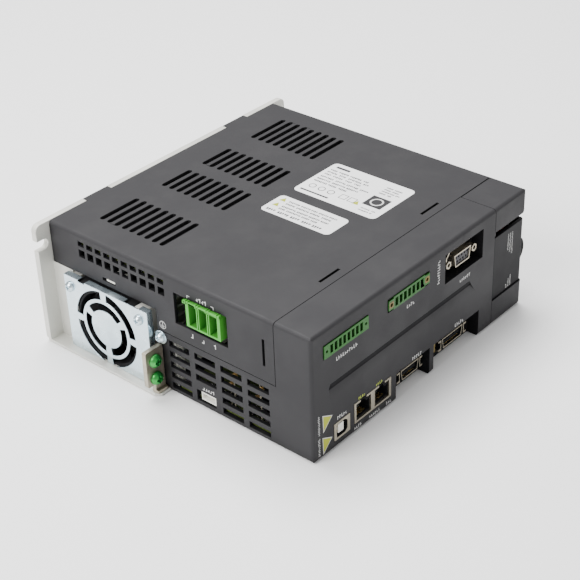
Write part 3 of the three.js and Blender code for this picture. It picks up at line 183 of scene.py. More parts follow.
def node_span(node):
    """Lowest and highest corner of a CAD node, in millimetres from the case corner."""
    low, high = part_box(node)
    return (Vector(low) - CASE_CORNER) / MM, (Vector(high) - CASE_CORNER) / MM


def node_middle(node):
    low, high = node_span(node)
    return (low + high) / 2


print("case length", round(CASE_LENGTH, 1), "height lying down", round(TOP_Z, 1))

# %% [markdown]
# ## Effects that several finishes share
# Moulded, cast and plated surfaces differ mostly in numbers: how big the grain is, how deep, and
# how much the colour drifts. So each effect is a node group with named inputs, made once. A
# painted texture would need a flat map of every piece.

# %% Helper for node groups
GROUP_KINDS = {"float": "NodeSocketFloat", "vector": "NodeSocketVector"}


def new_group(name, inputs, outputs):
    tree = bpy.data.node_groups.new(name, "ShaderNodeTree")
    for label, kind, value in inputs:
        kind = GROUP_KINDS[kind]
        socket = tree.interface.new_socket(name=label, in_out="INPUT", socket_type=kind)
        if value is not None:
            socket.default_value = value
    for label in outputs:
        tree.interface.new_socket(name=label, in_out="OUTPUT", socket_type="NodeSocketFloat")
    start = tree.nodes.new("NodeGroupInput")
    end = tree.nodes.new("NodeGroupOutput")
    print("node group", name, "puts out", outputs)
    return tree, start, end


def maths(tree, operation, first, second=None):
    """A math node; each of its two values is a socket or a number."""
    node = tree.nodes.new("ShaderNodeMath")
    node.operation = operation
    for index, value in enumerate((first, second)):
        if value is None:
            continue
        if isinstance(value, (int, float)):
            node.inputs[index].default_value = value
        else:
            tree.links.new(value, node.inputs[index])
    return node.outputs[0]


def noise(tree, vector, scale, detail=2.0, roughness=0.5):
    node = set_inputs(tree.nodes.new("ShaderNodeTexNoise"), Detail=detail, Roughness=roughness)
    tree.links.new(vector, node.inputs["Vector"])
    if isinstance(scale, (int, float)):
        node.inputs["Scale"].default_value = scale
    else:
        tree.links.new(scale, node.inputs["Scale"])
    return node.outputs["Fac"]


def remap(tree, value, low, high, to_low, to_high):
    node = tree.nodes.new("ShaderNodeMapRange")
    node.interpolation_type = "SMOOTHSTEP"
    set_inputs(node, From_Min=low, From_Max=high, To_Min=to_low, To_Max=to_high)
    tree.links.new(value, node.inputs["Value"])
    return node.outputs["Result"]


# %% [markdown]
# ### Grain
# A mould or a casting leaves a fine grain all over, and the colour drifts a little over the width
# of a hand. One fine noise gives the height, a finer one gives flecks, and a coarse one gives the
# drift.

# %% Surface grain group
grain_group, start, end = new_group(
    "surface grain",
    [("Vector", "vector", None), ("Grain Size", "float", 0.0005), ("Patch Size", "float", 0.03)],
    ["Height", "Fleck", "Patch"],
)
fine = maths(grain_group, "DIVIDE", 1.0, start.outputs["Grain Size"])
finer = maths(grain_group, "MULTIPLY", fine, 2.3)
coarse = maths(grain_group, "DIVIDE", 1.0, start.outputs["Patch Size"])
place = start.outputs["Vector"]
grain_group.links.new(noise(grain_group, place, fine, 3.0, 0.6), end.inputs["Height"])
fleck = remap(grain_group, noise(grain_group, place, finer, 1.0), 0.35, 0.7, 0.0, 1.0)
grain_group.links.new(fleck, end.inputs["Fleck"])
patch = remap(grain_group, noise(grain_group, place, coarse, 3.0, 0.55), 0.3, 0.7, 0.0, 1.0)
grain_group.links.new(patch, end.inputs["Patch"])

# %% [markdown]
# ### Edge wear and painted highlight
# Handling polishes edges first, and edges catch the light; this mask lightens edges for both, so
# it is partly a painted highlight. A Bevel node rounds the surface's normal near an edge, so
# comparing it with the plain normal gives a mask of the edges, and a noise breaks that mask up.

# %% Edge wear and painted highlight group
wear_highlight_group, start, end = new_group(
    "edge rubbing and painted highlight",
    [("Vector", "vector", None), ("Radius", "float", 0.0008), ("Breakup Size", "float", 0.006)],
    ["Mask"],
)
rounded = wear_highlight_group.nodes.new("ShaderNodeBevel")
rounded.samples = 4
wear_highlight_group.links.new(start.outputs["Radius"], rounded.inputs["Radius"])
plain = wear_highlight_group.nodes.new("ShaderNodeNewGeometry")
facing = wear_highlight_group.nodes.new("ShaderNodeVectorMath")
facing.operation = "DOT_PRODUCT"
wear_highlight_group.links.new(rounded.outputs["Normal"], facing.inputs[0])
wear_highlight_group.links.new(plain.outputs["Normal"], facing.inputs[1])
turned = maths(wear_highlight_group, "SUBTRACT", 1.0, facing.outputs["Value"])
edge = remap(wear_highlight_group, turned, 0.02, 0.22, 0.0, 1.0)
breakup = maths(wear_highlight_group, "DIVIDE", 1.0, start.outputs["Breakup Size"])
broken = noise(wear_highlight_group, start.outputs["Vector"], breakup, 4.0, 0.65)
ragged = remap(wear_highlight_group, broken, 0.35, 0.65, 0.1, 1.0)
wear_highlight_group.links.new(maths(wear_highlight_group, "MULTIPLY", edge, ragged), end.inputs["Mask"])

# %% [markdown]
# ### Dust
# A little dust settles on what faces up. The mask is how far the surface faces up, times a noise.

# %% Settled dust group
dust_group, start, end = new_group("settled dust", [("Vector", "vector", None)], ["Mask"])
geometry = dust_group.nodes.new("ShaderNodeNewGeometry")
parts = dust_group.nodes.new("ShaderNodeSeparateXYZ")
dust_group.links.new(geometry.outputs["Normal"], parts.inputs[0])
upward = remap(dust_group, parts.outputs["Z"], 0.3, 0.95, 0.0, 1.0)
drifts = noise(dust_group, start.outputs["Vector"], 45.0, 6.0, 0.7)
cloud = remap(dust_group, drifts, 0.4, 0.8, 0.0, 1.0)
dust_group.links.new(maths(dust_group, "MULTIPLY", upward, cloud), end.inputs["Mask"])

# %% [markdown]
# ### Painted crevice shade
# Grooves, slots and the roots of walls are painted darker here, as painted shade. The mask is how
# much of the space near a point is closed in by the piece's own walls.

# %% Painted crevice shade group
crevice_shade_group, start, end = new_group(
    "crevice painted shade", [("Vector", "vector", None), ("Reach", "float", 0.008)], ["Mask"]
)
closed_in = crevice_shade_group.nodes.new("ShaderNodeAmbientOcclusion")
closed_in.samples = 8
crevice_shade_group.links.new(start.outputs["Reach"], closed_in.inputs["Distance"])
open_share = remap(crevice_shade_group, closed_in.outputs["AO"], 0.4, 1.0, 1.0, 0.0)
cloud = noise(crevice_shade_group, start.outputs["Vector"], 160.0, 3.0)
uneven = remap(crevice_shade_group, cloud, 0.2, 0.6, 0.8, 1.0)
crevice_shade_group.links.new(maths(crevice_shade_group, "MULTIPLY", open_share, uneven), end.inputs["Mask"])

# %% [markdown]
# ### Plating
# Zinc and nickel grow in crystals that catch the light one by one, and sheet keeps the direction
# it was rolled in. Voronoi cells give each crystal its own tone; a stretched noise gives the
# rolling.

# %% Plating group
ROLLING = (2500, 2500, 60)
plating_group, start, end = new_group(
    "plating", [("Vector", "vector", None), ("Crystal Size", "float", 0.004)], ["Tone", "Lines"]
)
crystals = plating_group.nodes.new("ShaderNodeTexVoronoi")
density = maths(plating_group, "DIVIDE", 1.0, start.outputs["Crystal Size"])
plating_group.links.new(density, crystals.inputs["Scale"])
plating_group.links.new(start.outputs["Vector"], crystals.inputs["Vector"])
tone_parts = plating_group.nodes.new("ShaderNodeSeparateColor")
plating_group.links.new(crystals.outputs["Color"], tone_parts.inputs[0])
plating_group.links.new(tone_parts.outputs["Red"], end.inputs["Tone"])
stretch = plating_group.nodes.new("ShaderNodeVectorMath")
stretch.operation = "MULTIPLY"
stretch.inputs[1].default_value = ROLLING
plating_group.links.new(start.outputs["Vector"], stretch.inputs[0])
plating_group.links.new(noise(plating_group, stretch.outputs[0], 1.0, 2.0), end.inputs["Lines"])

# %% [markdown]
# ## Finishes
# One function lays the shared effects over a base colour. The colour drifts between a darker and a
# lighter tone, edges take a lighter colour for wear and as a painted highlight, crevices can take
# a painted shade, dust lies over all, and the grain's height goes to a Bump node. What is the same
# all over, such as metal or not, is set on the shader's own sockets.

# %% One function for moulded and cast finishes
DUST_COLOUR = (0.42, 0.41, 0.38, 1)
PAINTED_SHADE_TONE = 0.12


def use_group(tree, group, vector, **values):
    node = tree.nodes.new("ShaderNodeGroup")
    node.node_tree = group
    tree.links.new(vector, node.inputs["Vector"])
    return set_inputs(node, **values)


def mix_colours(tree, share, first, second):
    node = tree.nodes.new("ShaderNodeMix")
    node.data_type = "RGBA"
    tree.links.new(share, node.inputs[0])
    for index, colour in ((6, first), (7, second)):
        if isinstance(colour, tuple):
            node.inputs[index].default_value = colour
        else:
            tree.links.new(colour, node.inputs[index])
    return node.outputs[2]


def add_bump(tree, height, depth):
    bump = set_inputs(tree.nodes.new("ShaderNodeBump"), Distance=depth)
    tree.links.new(height, bump.inputs["Height"])
    tree.links.new(bump.outputs["Normal"], tree.nodes["Principled BSDF"].inputs["Normal"])


def toned(colour, factor):
    return (*(min(1.0, channel * factor) for channel in colour), 1)


def finish(name, colour, roughness, metallic=0.0, grain=0.0005, depth=0.00002, drift=0.1,
           wear_highlight=0.3, wear_highlight_tone=1.8, dust=0.08, patch=0.03, coat=0.0, painted_shade=0.0, sheen=0.5,
           clear=0.0):
    """A material from a base colour and the sizes and amounts of the shared effects."""
    material = bpy.data.materials.new(name)
    material.use_nodes = True
    tree = material.node_tree
    shader = tree.nodes["Principled BSDF"]
    set_inputs(shader, Metallic=metallic, Coat_Weight=coat, Specular_IOR_Level=sheen,
               Transmission_Weight=clear, Coat_Roughness=0.12)
    place = tree.nodes.new("ShaderNodeTexCoord").outputs["Object"]
    surface = use_group(tree, grain_group, place, Grain_Size=grain, Patch_Size=patch)
    drifting = mix_colours(
        tree, surface.outputs["Patch"], toned(colour, 1 - drift), toned(colour, 1 + drift)
    )
    flecks = maths(tree, "MULTIPLY", surface.outputs["Fleck"], drift * 1.5)
    shade = mix_colours(tree, flecks, drifting, toned(colour, 1 + 2.5 * drift))
    # Edges turn lighter: partly wear, partly a painted highlight.
    if wear_highlight:
        worn_lit = use_group(tree, wear_highlight_group, place)
        share = maths(tree, "MULTIPLY", worn_lit.outputs["Mask"], wear_highlight)
        shade = mix_colours(tree, share, shade, toned(colour, wear_highlight_tone))
    if dust:
        settled = use_group(tree, dust_group, place)
        share = maths(tree, "MULTIPLY", settled.outputs["Mask"], dust)
        shade = mix_colours(tree, share, shade, DUST_COLOUR)
    # Crevices are darkened towards a dark tone of the colour: painted shade.
    if painted_shade:
        shaded = use_group(tree, crevice_shade_group, place)
        share = maths(tree, "MULTIPLY", shaded.outputs["Mask"], painted_shade)
        shade = mix_colours(tree, share, shade, toned(colour, PAINTED_SHADE_TONE))
    tree.links.new(shade, shader.inputs["Base Color"])
    rough = remap(tree, surface.outputs["Patch"], 0, 1, roughness - 0.05, roughness + 0.06)
    tree.links.new(rough, shader.inputs["Roughness"])
    add_bump(tree, surface.outputs["Height"], depth)
    return material


# %% [markdown]
# ### Plated metal
# Zinc sheet and nickelled connector shells are bright, so their roughness must change from crystal
# to crystal, or they look like grey plastic. The plating group drives colour, roughness and bump.

# %% One function for plated finishes
def plated(name, colour, roughness, crystal, spread=0.12, depth=0.000008):
    material = bpy.data.materials.new(name)
    material.use_nodes = True
    tree = material.node_tree
    shader = tree.nodes["Principled BSDF"]
    set_inputs(shader, Metallic=0.9)
    place = tree.nodes.new("ShaderNodeTexCoord").outputs["Object"]
    plating = use_group(tree, plating_group, place, Crystal_Size=crystal)
    surface = use_group(tree, grain_group, place, Grain_Size=0.0004, Patch_Size=0.02)
    tone = maths(tree, "MULTIPLY", plating.outputs["Tone"], 0.5)
    tone = maths(tree, "ADD", tone, maths(tree, "MULTIPLY", surface.outputs["Patch"], 0.5))
    shade = mix_colours(tree, tone, toned(colour, 1 - spread), toned(colour, 1 + spread))
    # Edges turn lighter: partly wear, partly a painted highlight.
    worn_lit = use_group(tree, wear_highlight_group, place, Radius=0.0004)
    share = maths(tree, "MULTIPLY", worn_lit.outputs["Mask"], 0.5)
    shade = mix_colours(tree, share, shade, toned(colour, 1.35))
    tree.links.new(shade, shader.inputs["Base Color"])
    rough = remap(tree, tone, 0, 1, roughness - 0.07, roughness + 0.08)
    tree.links.new(rough, shader.inputs["Roughness"])
    lines = maths(tree, "ADD", plating.outputs["Lines"], surface.outputs["Height"])
    add_bump(tree, lines, depth)
    return material


# %% The drive's finishes, by the record's slot names
FINISHES = {
    "cast_alloy": finish(
        "cast alloy", (0.60, 0.595, 0.55), 0.55, metallic=0.35, grain=0.0011, depth=0.00006,
        drift=0.07, wear_highlight=0.4, wear_highlight_tone=1.3, dust=0.05
    ),
    "case_plastic": finish(
        "case moulding", (0.0195, 0.0188, 0.0208), 0.6, grain=0.0006, depth=0.00003, drift=0.035,
        wear_highlight=0.35, wear_highlight_tone=2.4, dust=0.015, painted_shade=0.9, sheen=0.28
    ),
    "door_plastic": finish(
        "door moulding", (0.011, 0.0105, 0.012), 0.5, grain=0.0009, depth=0.000008, drift=0.08,
        wear_highlight=0.3, wear_highlight_tone=2.4, dust=0.0, painted_shade=0.6, sheen=0.1
    ),
    "black_plastic": finish(
        "black moulding", (0.006, 0.006, 0.007), 0.7, drift=0.2, wear_highlight=0.25, wear_highlight_tone=4.0,
        dust=0.03, sheen=0.12
    ),
    "green_plastic": finish(
        "connector green", (0.019, 0.108, 0.014), 0.42, grain=0.0008, depth=0.00001, drift=0.08,
        wear_highlight=0.6, wear_highlight_tone=3.2, dust=0.0, painted_shade=0.7, sheen=0.25
    ),
    "screw_green": finish(
        "green passivated screw", (0.03, 0.26, 0.05), 0.28, metallic=0.75, depth=0.00001,
        drift=0.2, wear_highlight=0.8, wear_highlight_tone=2.6, dust=0.0
    ),
    "board_green": finish(
        "solder mask", (0.055, 0.075, 0.016), 0.35, depth=0.00001, drift=0.15, wear_highlight=0.2, dust=0.1,
        coat=0.3
    ),
    "white_plastic": finish(
        "natural nylon", (0.78, 0.77, 0.70), 0.5, drift=0.04, wear_highlight=0.1, wear_highlight_tone=1.1, dust=0.06
    ),
    "label_white": finish(
        "white label film", (0.86, 0.86, 0.86), 0.42, grain=0.001, depth=0.000004, drift=0.02,
        wear_highlight=0.0, dust=0.04
    ),
    "label_grey": finish(
        "grey label film", (0.84, 0.84, 0.84), 0.42, grain=0.001, depth=0.000004, drift=0.03,
        wear_highlight=0.0, dust=0.04
    ),
    "dark_module": finish(
        "moulding compound", (0.014, 0.012, 0.017), 0.55, drift=0.15, wear_highlight=0.3, wear_highlight_tone=3.0,
        dust=0.05
    ),
    "sleeve_blue": finish(
        "shrink sleeve", (0.02, 0.035, 0.1), 0.3, drift=0.08, wear_highlight=0.1, coat=0.3
    ),
    "copper_wire": finish("enamelled winding", (0.42, 0.16, 0.06), 0.35, metallic=0.7, drift=0.15),
    "key_grey": finish("key cap", (0.42, 0.42, 0.41), 0.55, drift=0.05, wear_highlight=0.3, wear_highlight_tone=1.3),
    "display_red": finish(
        "display face", (0.035, 0.006, 0.006), 0.22, drift=0.06, wear_highlight=0.1, dust=0.02, coat=0.5
    ),
    "lamp_red": finish(
        "lamp lens", (0.5, 0.03, 0.03), 0.18, depth=0.00001, drift=0.12, wear_highlight=0.0, dust=0.0,
        clear=0.6
    ),
    "zinc_sheet": plated("bright zinc", (0.62, 0.73, 0.79), 0.24, 0.006),
    "nickel": plated("nickel plate", (0.40, 0.362, 0.285), 0.34, 0.002, spread=0.16),
}


def ink(name, colour, roughness, drift, patch=0.03):
    return finish(name, colour, roughness, drift=drift, wear_highlight=0.0, dust=0.0, patch=patch)


INK_WHITE = ink("white ink", (0.55, 0.55, 0.54), 0.6, 0.12, 0.004)
INK_GREY = ink("grey ink", (0.02, 0.02, 0.024), 0.6, 0.2, 0.004)
INK_YELLOW = ink("yellow ink", (0.34, 0.37, 0.003), 0.5, 0.06)
INK_LIME = ink("lime ink", (0.40, 0.48, 0.03), 0.5, 0.1)
GOLD = plated("gold flash", (0.78, 0.55, 0.20), 0.28, 0.001)
BRASS = finish("brass", (0.15, 0.11, 0.03), 0.5, metallic=0.4, grain=0.0003, drift=0.2, wear_highlight=0.1,
               dust=0.0)
print("finishes", len(FINISHES))

# %% [markdown]
# ## Carrying the CAD pieces over
# A CAD solid has razor-sharp edges, and real mouldings and sheets never do: light runs along a
# soft edge and shows the shape. Each visible piece is copied, its flat faces are joined up, and a
# narrow Bevel rounds its corners. The front housing's widest face wraps round too many holes to
# stay one face, so it is cut into triangles again. Weighted normals keep big faces flat beside the
# rounding.

# %% Helpers that make a piece
BODY_OF = {
    node: body for body, nodes in frame["record"]["behaviour"]["bodies"].items() for node in nodes
}
SLOT_OF = {part["node"]: part["material_slot"] for part in frame["record"]["subparts"]}
SOFT_CORNER = math.radians(32)
ONE_PLANE = math.radians(0.5)


def soften(piece, width, segments=2):
    bevel = piece.modifiers.new("soft edges", "BEVEL")
    bevel.width = width * MM
    bevel.segments = segments
    bevel.limit_method = "ANGLE"
    bevel.angle_limit = SOFT_CORNER
    bevel.use_clamp_overlap = False
    normals = piece.modifiers.new("flat faces stay flat", "WEIGHTED_NORMAL")
    normals.keep_sharp = True


def make_piece(name, bm, material, body, edge=0.0, segments=2):
    """Turns a bmesh into a piece on its body; edge is the width of its soft edges."""
    mesh = bpy.data.meshes.new(name)
    bm.to_mesh(mesh)
    bm.free()
    mesh.materials.append(material)
    mesh.polygons.foreach_set("use_smooth", [True] * len(mesh.polygons))
    piece = link(name, mesh)
    if edge:
        soften(piece, edge, segments)
    else:
        mesh.set_sharp_from_angle(angle=SOFT_CORNER)
    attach(piece, body)
    print("made", name, "with", len(mesh.polygons), "faces")
    return piece


def build(name, bm, slot="label_white", material=None, edge=0.0, body="case"):
    """A piece of closed solids, faces outwards, in its slot's finish unless another is given."""
    bmesh.ops.recalc_face_normals(bm, faces=bm.faces)
    return make_piece(name, bm, material or FINISHES[slot], body, edge)


def copy_of(node):
    bm = bmesh.new()
    bm.from_mesh(frame["nodes"][node].data)
    bmesh.ops.remove_doubles(bm, verts=bm.verts, dist=1e-6)
    bmesh.ops.dissolve_limit(bm, angle_limit=ONE_PLANE, verts=bm.verts, edges=bm.edges,
                             use_dissolve_boundaries=False)
    if node == "front_housing":
        many_sided = [face for face in bm.faces if len(face.verts) > 4]
        bmesh.ops.triangulate(bm, faces=many_sided)
    return bm


def dress(node, edge, segments=2):
    slot = SLOT_OF[node]
    piece = make_piece(
        node + "_finished", copy_of(node), FINISHES[slot], BODY_OF[node], edge, segments
    )
    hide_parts(node)
    return piece


def refinish(piece, material, *boxes):
    """Gives a second finish to the faces whose middle lies in one of the boxes."""
    piece.data.materials.append(material)
    index = len(piece.data.materials) - 1
    count = 0
    for face in piece.data.polygons:
        middle = (face.center - CASE_CORNER) / MM
        for low, high in boxes:
            if all(low[axis] <= middle[axis] <= high[axis] for axis in range(3)):
                face.material_index = index
                count += 1
                break
    return count


# %% [markdown]
# ### Case and heat sink
# The mouldings get fine corners, since their seams have lips half a millimetre thick that a wider
# rounding would cross; the door and the casting get 0.3 mm. Inside the connector pockets, the bay
# and the case, on the roof of the grip groove and on the heat sink's roof under the cover, the
# faces take the black finish as painted shade.

# %% Case, door and heat sink
front = dress("front_housing", 0.12)
cover = dress("side_cover", 0.22)
bay = dress("display_frame", 0.14)
door = dress("display_door", 0.3)
sink = dress("heat_sink", 0.3)
BLACK = FINISHES["black_plastic"]
WALL = 2.2
ROOF = 3.6
inside = ((0.6, WALL - 0.2, 0.6), (CASE_LENGTH - 0.6, 300, TOP_Z - ROOF))
pocket_low, pocket_high = node_span("serial_connector")
encoder_low, encoder_high = node_span("encoder_connector")
io_low, io_high = node_span("io_connector")
pockets = [
    ((pocket_low.x - 3.6, 0.4, pocket_low.z - 3), (pocket_high.x + 3.4, 9.5, pocket_high.z + 2)),
    ((encoder_low.x - 6, 0.4, 0.1), (encoder_high.x + 3.4, 9.5, encoder_high.z + 4.4)),
    ((io_low.x - 10, 0.4, 0.1), (io_high.x + 9, 9.5, io_high.z + 4.4)),
]
door_low, door_high = node_span("display_door")
bay_space = ((door_low.x, 0.9, door_low.z - 1), (CASE_LENGTH, 14, door_high.z + 5.4))
groove_roof = ((13, 0.05, 39.8), (149, 2.6, 45))
under_cover = ((10, 116, 49), (CASE_LENGTH - 2, 195, 54))
# The faces in these boxes take the black finish as painted shade.
print("black faces", refinish(front, BLACK, inside, groove_roof, *pockets),
      refinish(cover, BLACK, inside), refinish(bay, BLACK, inside, bay_space),
      refinish(sink, BLACK, under_cover))
for node in ("rating_label", "caution_label"):
    dress(node, 0.05)
pin = dress("door_hinge_pin", 0.12)
pin.data.materials[0] = FINISHES["dark_module"]
TAB_START = CASE_LENGTH - 0.2
print("tab faces", refinish(door, BLACK, ((TAB_START, -5, 0), (TAB_START + 9, 20, TOP_Z))))

# %% [markdown]
# ### Connectors, screws and small metal
# The same helper serves the small parts, with corners in proportion to their walls. The square
# port's tongue is cream nylon and takes a second finish; the inside of its throat takes the black
# finish as painted shade.

# %% Connectors and small metal
KEYS = ("mode_key", "shift_key", "up_key", "down_key", "set_key")
SMALL_PARTS = {
    0.2: (
        "motor_header", "mains_header", "regen_header", "safety_header", "io_header", "fan_guard",
        "earth_terminal", "fan_frame", "discharge_resistor", *KEYS
    ),
    0.14: (
        "earth_screw_1", "earth_screw_2", "guard_screw_1", "guard_screw_2", "case_screw",
        "case_washer", "jackscrew_1", "jackscrew_2", "usb_socket", "network_sockets",
        "network_insert_1", "network_insert_2", "aux_connector", "fan_connector",
        "digit_display", "encoder_body", "io_body"
    ),
    0.1: ("serial_connector", "serial_insert", "encoder_connector", "io_connector"),
}
finished = {}
for edge, nodes in SMALL_PARTS.items():
    for node in nodes:
        finished[node] = dress(node, edge)
usb_low, usb_high = node_span("usb_socket")
usb_middle = node_middle("usb_socket")
throat = ((usb_low.x + 1.2, 0.3, usb_low.z + 0.9), (usb_high.x - 1.2, 15, usb_high.z - 0.9))
tongue = ((usb_middle.x - 2.8, 0.3, usb_middle.z - 3), (usb_middle.x + 2.2, 9, usb_middle.z + 3))
# A lighter green than the connector green, as painted light on the headers that face the fan-side
# light.
POWER_GREEN_LIT = finish("power header green, painted lit", (0.06, 0.32, 0.035), 0.4, grain=0.0008, depth=0.00001,
                     drift=0.08, wear_highlight=0.6, wear_highlight_tone=2.2, dust=0.0, painted_shade=0.35, sheen=0.3)
for node in ("motor_header", "mains_header", "regen_header"):
    finished[node].data.materials[0] = POWER_GREEN_LIT
# Throat faces take black as painted shade; the tongue takes cream nylon.
print("throat faces", refinish(finished["usb_socket"], BLACK, throat),
      refinish(finished["usb_socket"], FINISHES["white_plastic"], tongue))

# %% Painted shade in the throats of the small ports
# Faces deep in the pockets and inside the mouths take the black finish as painted shade.
for node in ("encoder_connector", "io_connector"):
    low, high = node_span(node)
    flange = ((low.x - 1, 6.9, low.z - 1), (high.x + 1, high.y + 0.2, high.z + 1))
    mouth = ((low.x + 1, low.y + 0.2, low.z + 0.9), (high.x - 1, 7.1, high.z - 0.9))
    print(node, "dark faces", refinish(finished[node], BLACK, flange, mouth))

# The serial connector's flange behind the panel takes black as painted shade.
low, high = node_span("serial_connector")
flange = ((low.x - 1, 6.6, low.z - 1), (high.x + 1, high.y + 0.2, high.z - 1.2))
print("serial dark faces", refinish(finished["serial_connector"], BLACK, flange))
finished["discharge_resistor"].data.materials[0] = FINISHES["white_plastic"]

# %% [markdown]
# ### Pieces deep inside
# The boards, modules and cans behind the louvres keep their CAD shape and only need a real finish,
# so their own material slots are filled.

# %% Inside pieces
DRESSED = set(finished) | {"front_housing", "side_cover", "display_frame", "display_door",
                           "heat_sink", "rating_label", "caution_label", "door_hinge_pin"}
kept = [node for node in frame["nodes"] if node not in DRESSED and node != "fan_rotor"]
for node in kept:
    mesh = frame["nodes"][node].data
    for index in range(len(mesh.materials)):
        frame["nodes"][node].material_slots[index].material = FINISHES[SLOT_OF[node]]
print("kept as they are:", len(kept))

# %% [markdown]
# ## Shapes from outlines
# Marks, contacts and liners are thin prisms, rods and turned parts. These helpers add closed ones
# to a bmesh, so that many small solids can share one piece.

# %% Outline, rod and turning helpers
def add_prism(bm, outline, spot, low, high):
    """Closed prism: an outline of (across, up) points, between two distances out of the face."""
    rings = []
    for out in (low, high):
        rings.append([bm.verts.new(spot(across, up, out)) for across, up in outline])
    count = len(outline)
    bm.faces.new(rings[0])
    bm.faces.new(list(reversed(rings[1])))
    for index in range(count):
        following = (index + 1) % count
        bm.faces.new((rings[0][index], rings[1][index], rings[1][following], rings[0][following]))


def add_box(bm, low, high):
    (x0, y0, z0), (x1, y1, z1) = low, high
    add_prism(bm, [(x0, y0), (x1, y0), (x1, y1), (x0, y1)], at, z0, z1)


AXES = {"x": lambda a, b, along: at(along, a, b), "z": at}


def add_turned(bm, profile, axis, centre, sides=24):
    """Closed turned part: a profile of (radius, along) points that starts and ends on the axis."""
    spot = AXES[axis]
    rings = []
    for radius, along in profile:
        if radius == 0:
            rings.append([bm.verts.new(spot(centre[0], centre[1], along))])
            continue
        ring = []
        for side in range(sides):
            angle = 2 * math.pi * side / sides
            a = centre[0] + radius * math.cos(angle)
            b = centre[1] + radius * math.sin(angle)
            ring.append(bm.verts.new(spot(a, b, along)))
        rings.append(ring)
    for first, second in zip(rings, rings[1:]):
        for side in range(sides):
            following = (side + 1) % sides
            corners = [first[side % len(first)], second[side % len(second)],
                       second[following % len(second)], first[following % len(first)]]
            unique = list(dict.fromkeys(corners))
            bm.faces.new(unique)


def add_rod(bm, axis, centre, radius, low, high, sides=16, chamfer=0.0):
    profile = [(radius, low + chamfer), (radius, high - chamfer)]
    if chamfer:
        profile = [(radius - chamfer, low), *profile, (radius - chamfer, high)]
    add_turned(bm, [(0, low), *profile, (0, high)], axis, centre, sides)


def rectangle(a0, b0, a1, b1):
    return [(a0, b0), (a1, b0), (a1, b1), (a0, b1)]


# %% [markdown]
# ## Fan
# Behind the guard turns a seven-bladed rotor. Its blades are cambered, thin at both edges and
# swept back towards the tip. A formula gives each point of a blade from its share of the radius
# and of the chord, which is easier to keep smooth than pulling a plate by hand.

# %% Fan rotor
rotor_low, rotor_high = node_span("fan_rotor")
fan_centre = node_middle("fan_rotor").yz
TIP_RADIUS = min(rotor_high.y - rotor_low.y, rotor_high.z - rotor_low.z) / 2 - 0.2
HUB_RADIUS = 10.4
BLADE_COUNT = 7
ROOT_CHORD = math.radians(62)
CHORD_LOSS = math.radians(22)
CAMBER = math.radians(9)
SWEEP = math.radians(16)
EDGE_THICKNESS = 0.28
BELLY = 0.75
BLADE_FRONT = rotor_low.x + 0.6
BLADE_BACK = rotor_high.x - 3.2


def blade_point(turn, share_out, share_back, side):
    radius = HUB_RADIUS - 0.6 + (TIP_RADIUS - HUB_RADIUS + 0.6) * share_out
    chord = ROOT_CHORD - CHORD_LOSS * share_out
    bulge = math.sin(math.pi * share_back)
    camber = CAMBER * bulge
    sweep = SWEEP * share_out**1.5
    thickness = (EDGE_THICKNESS + BELLY * bulge) / radius
    angle = turn + sweep + chord * share_back - camber + side * thickness / 2
    x = BLADE_FRONT + (BLADE_BACK - BLADE_FRONT) * share_back
    y = fan_centre[0] + radius * math.cos(angle)
    return at(x, y, fan_centre[1] + radius * math.sin(angle))


def add_blade(bm, turn, steps_out=6, steps_back=8):
    shares = [step / steps_back for step in range(steps_back + 1)]
    loop = [(share, 1) for share in shares] + [(share, -1) for share in reversed(shares)]
    rings = []
    for step in range(steps_out + 1):
        share_out = step / steps_out
        points = [blade_point(turn, share_out, back, side) for back, side in loop]
        rings.append([bm.verts.new(point) for point in points])
    count = len(loop)
    for inner, outer in zip(rings, rings[1:]):
        for index in range(count):
            following = (index + 1) % count
            bm.faces.new((inner[index], outer[index], outer[following], inner[following]))
    bm.faces.new(rings[0])
    bm.faces.new(list(reversed(rings[-1])))


rotor = bmesh.new()
for index in range(BLADE_COUNT):
    add_blade(rotor, 2 * math.pi * index / BLADE_COUNT)
hub_front = rotor_low.x
hub_back = rotor_high.x - 2.4
DISH_RADIUS = 7.2
SHAFT_RADIUS = 1.4
hub_profile = [
    (0, hub_front + 0.3), (DISH_RADIUS, hub_front + 0.3), (DISH_RADIUS + 0.4, hub_front),
    (HUB_RADIUS - 1.6, hub_front), (HUB_RADIUS - 0.5, hub_front + 0.5),
    (HUB_RADIUS, hub_front + 1.6), (HUB_RADIUS, hub_back), (SHAFT_RADIUS, hub_back),
    (SHAFT_RADIUS, rotor_high.x), (0, rotor_high.x),
]
add_turned(rotor, hub_profile, "x", fan_centre, 40)
fan = build("fan_rotor_bladed", rotor, "black_plastic", body="fan")
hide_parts("fan_rotor")
hub_disc = bmesh.new()
add_rod(hub_disc, "x", fan_centre, DISH_RADIUS - 0.4, hub_front + 0.18, hub_front + 0.28, 40)
build("fan_hub_disc", hub_disc, "label_grey", body="fan")
print("fan blades", BLADE_COUNT, "tip radius", round(TIP_RADIUS, 2), "mm")

# %% [markdown]
# ## Contacts
# Looking into a connector, the eye finds bright metal in the dark: a square pin in each slot of
# the green headers, a blade in each power cell, eight wires in each jack, and gold strips on the
# tongues of the small ports. They are many small solids in one mesh for each connector.

# %% Pins in the green headers
POWER_PITCH = 7.62
JACK_PITCH = 1.02
TONGUE_PITCH = 1.27


def in_row(middle, count, pitch):
    """Places of a row of contacts about its middle."""
    return [middle + (index - (count - 1) / 2) * pitch for index in range(count)]


def header_pins(name, node, poles, pitch):
    middle = node_middle(node)
    bm = bmesh.new()
    for x in in_row(middle.x, poles, pitch):
        add_box(bm, (x - 0.5, 3.2, middle.z - 0.5), (x + 0.5, 8.6, middle.z + 0.5))
    return build(name, bm, "nickel", edge=0.12)


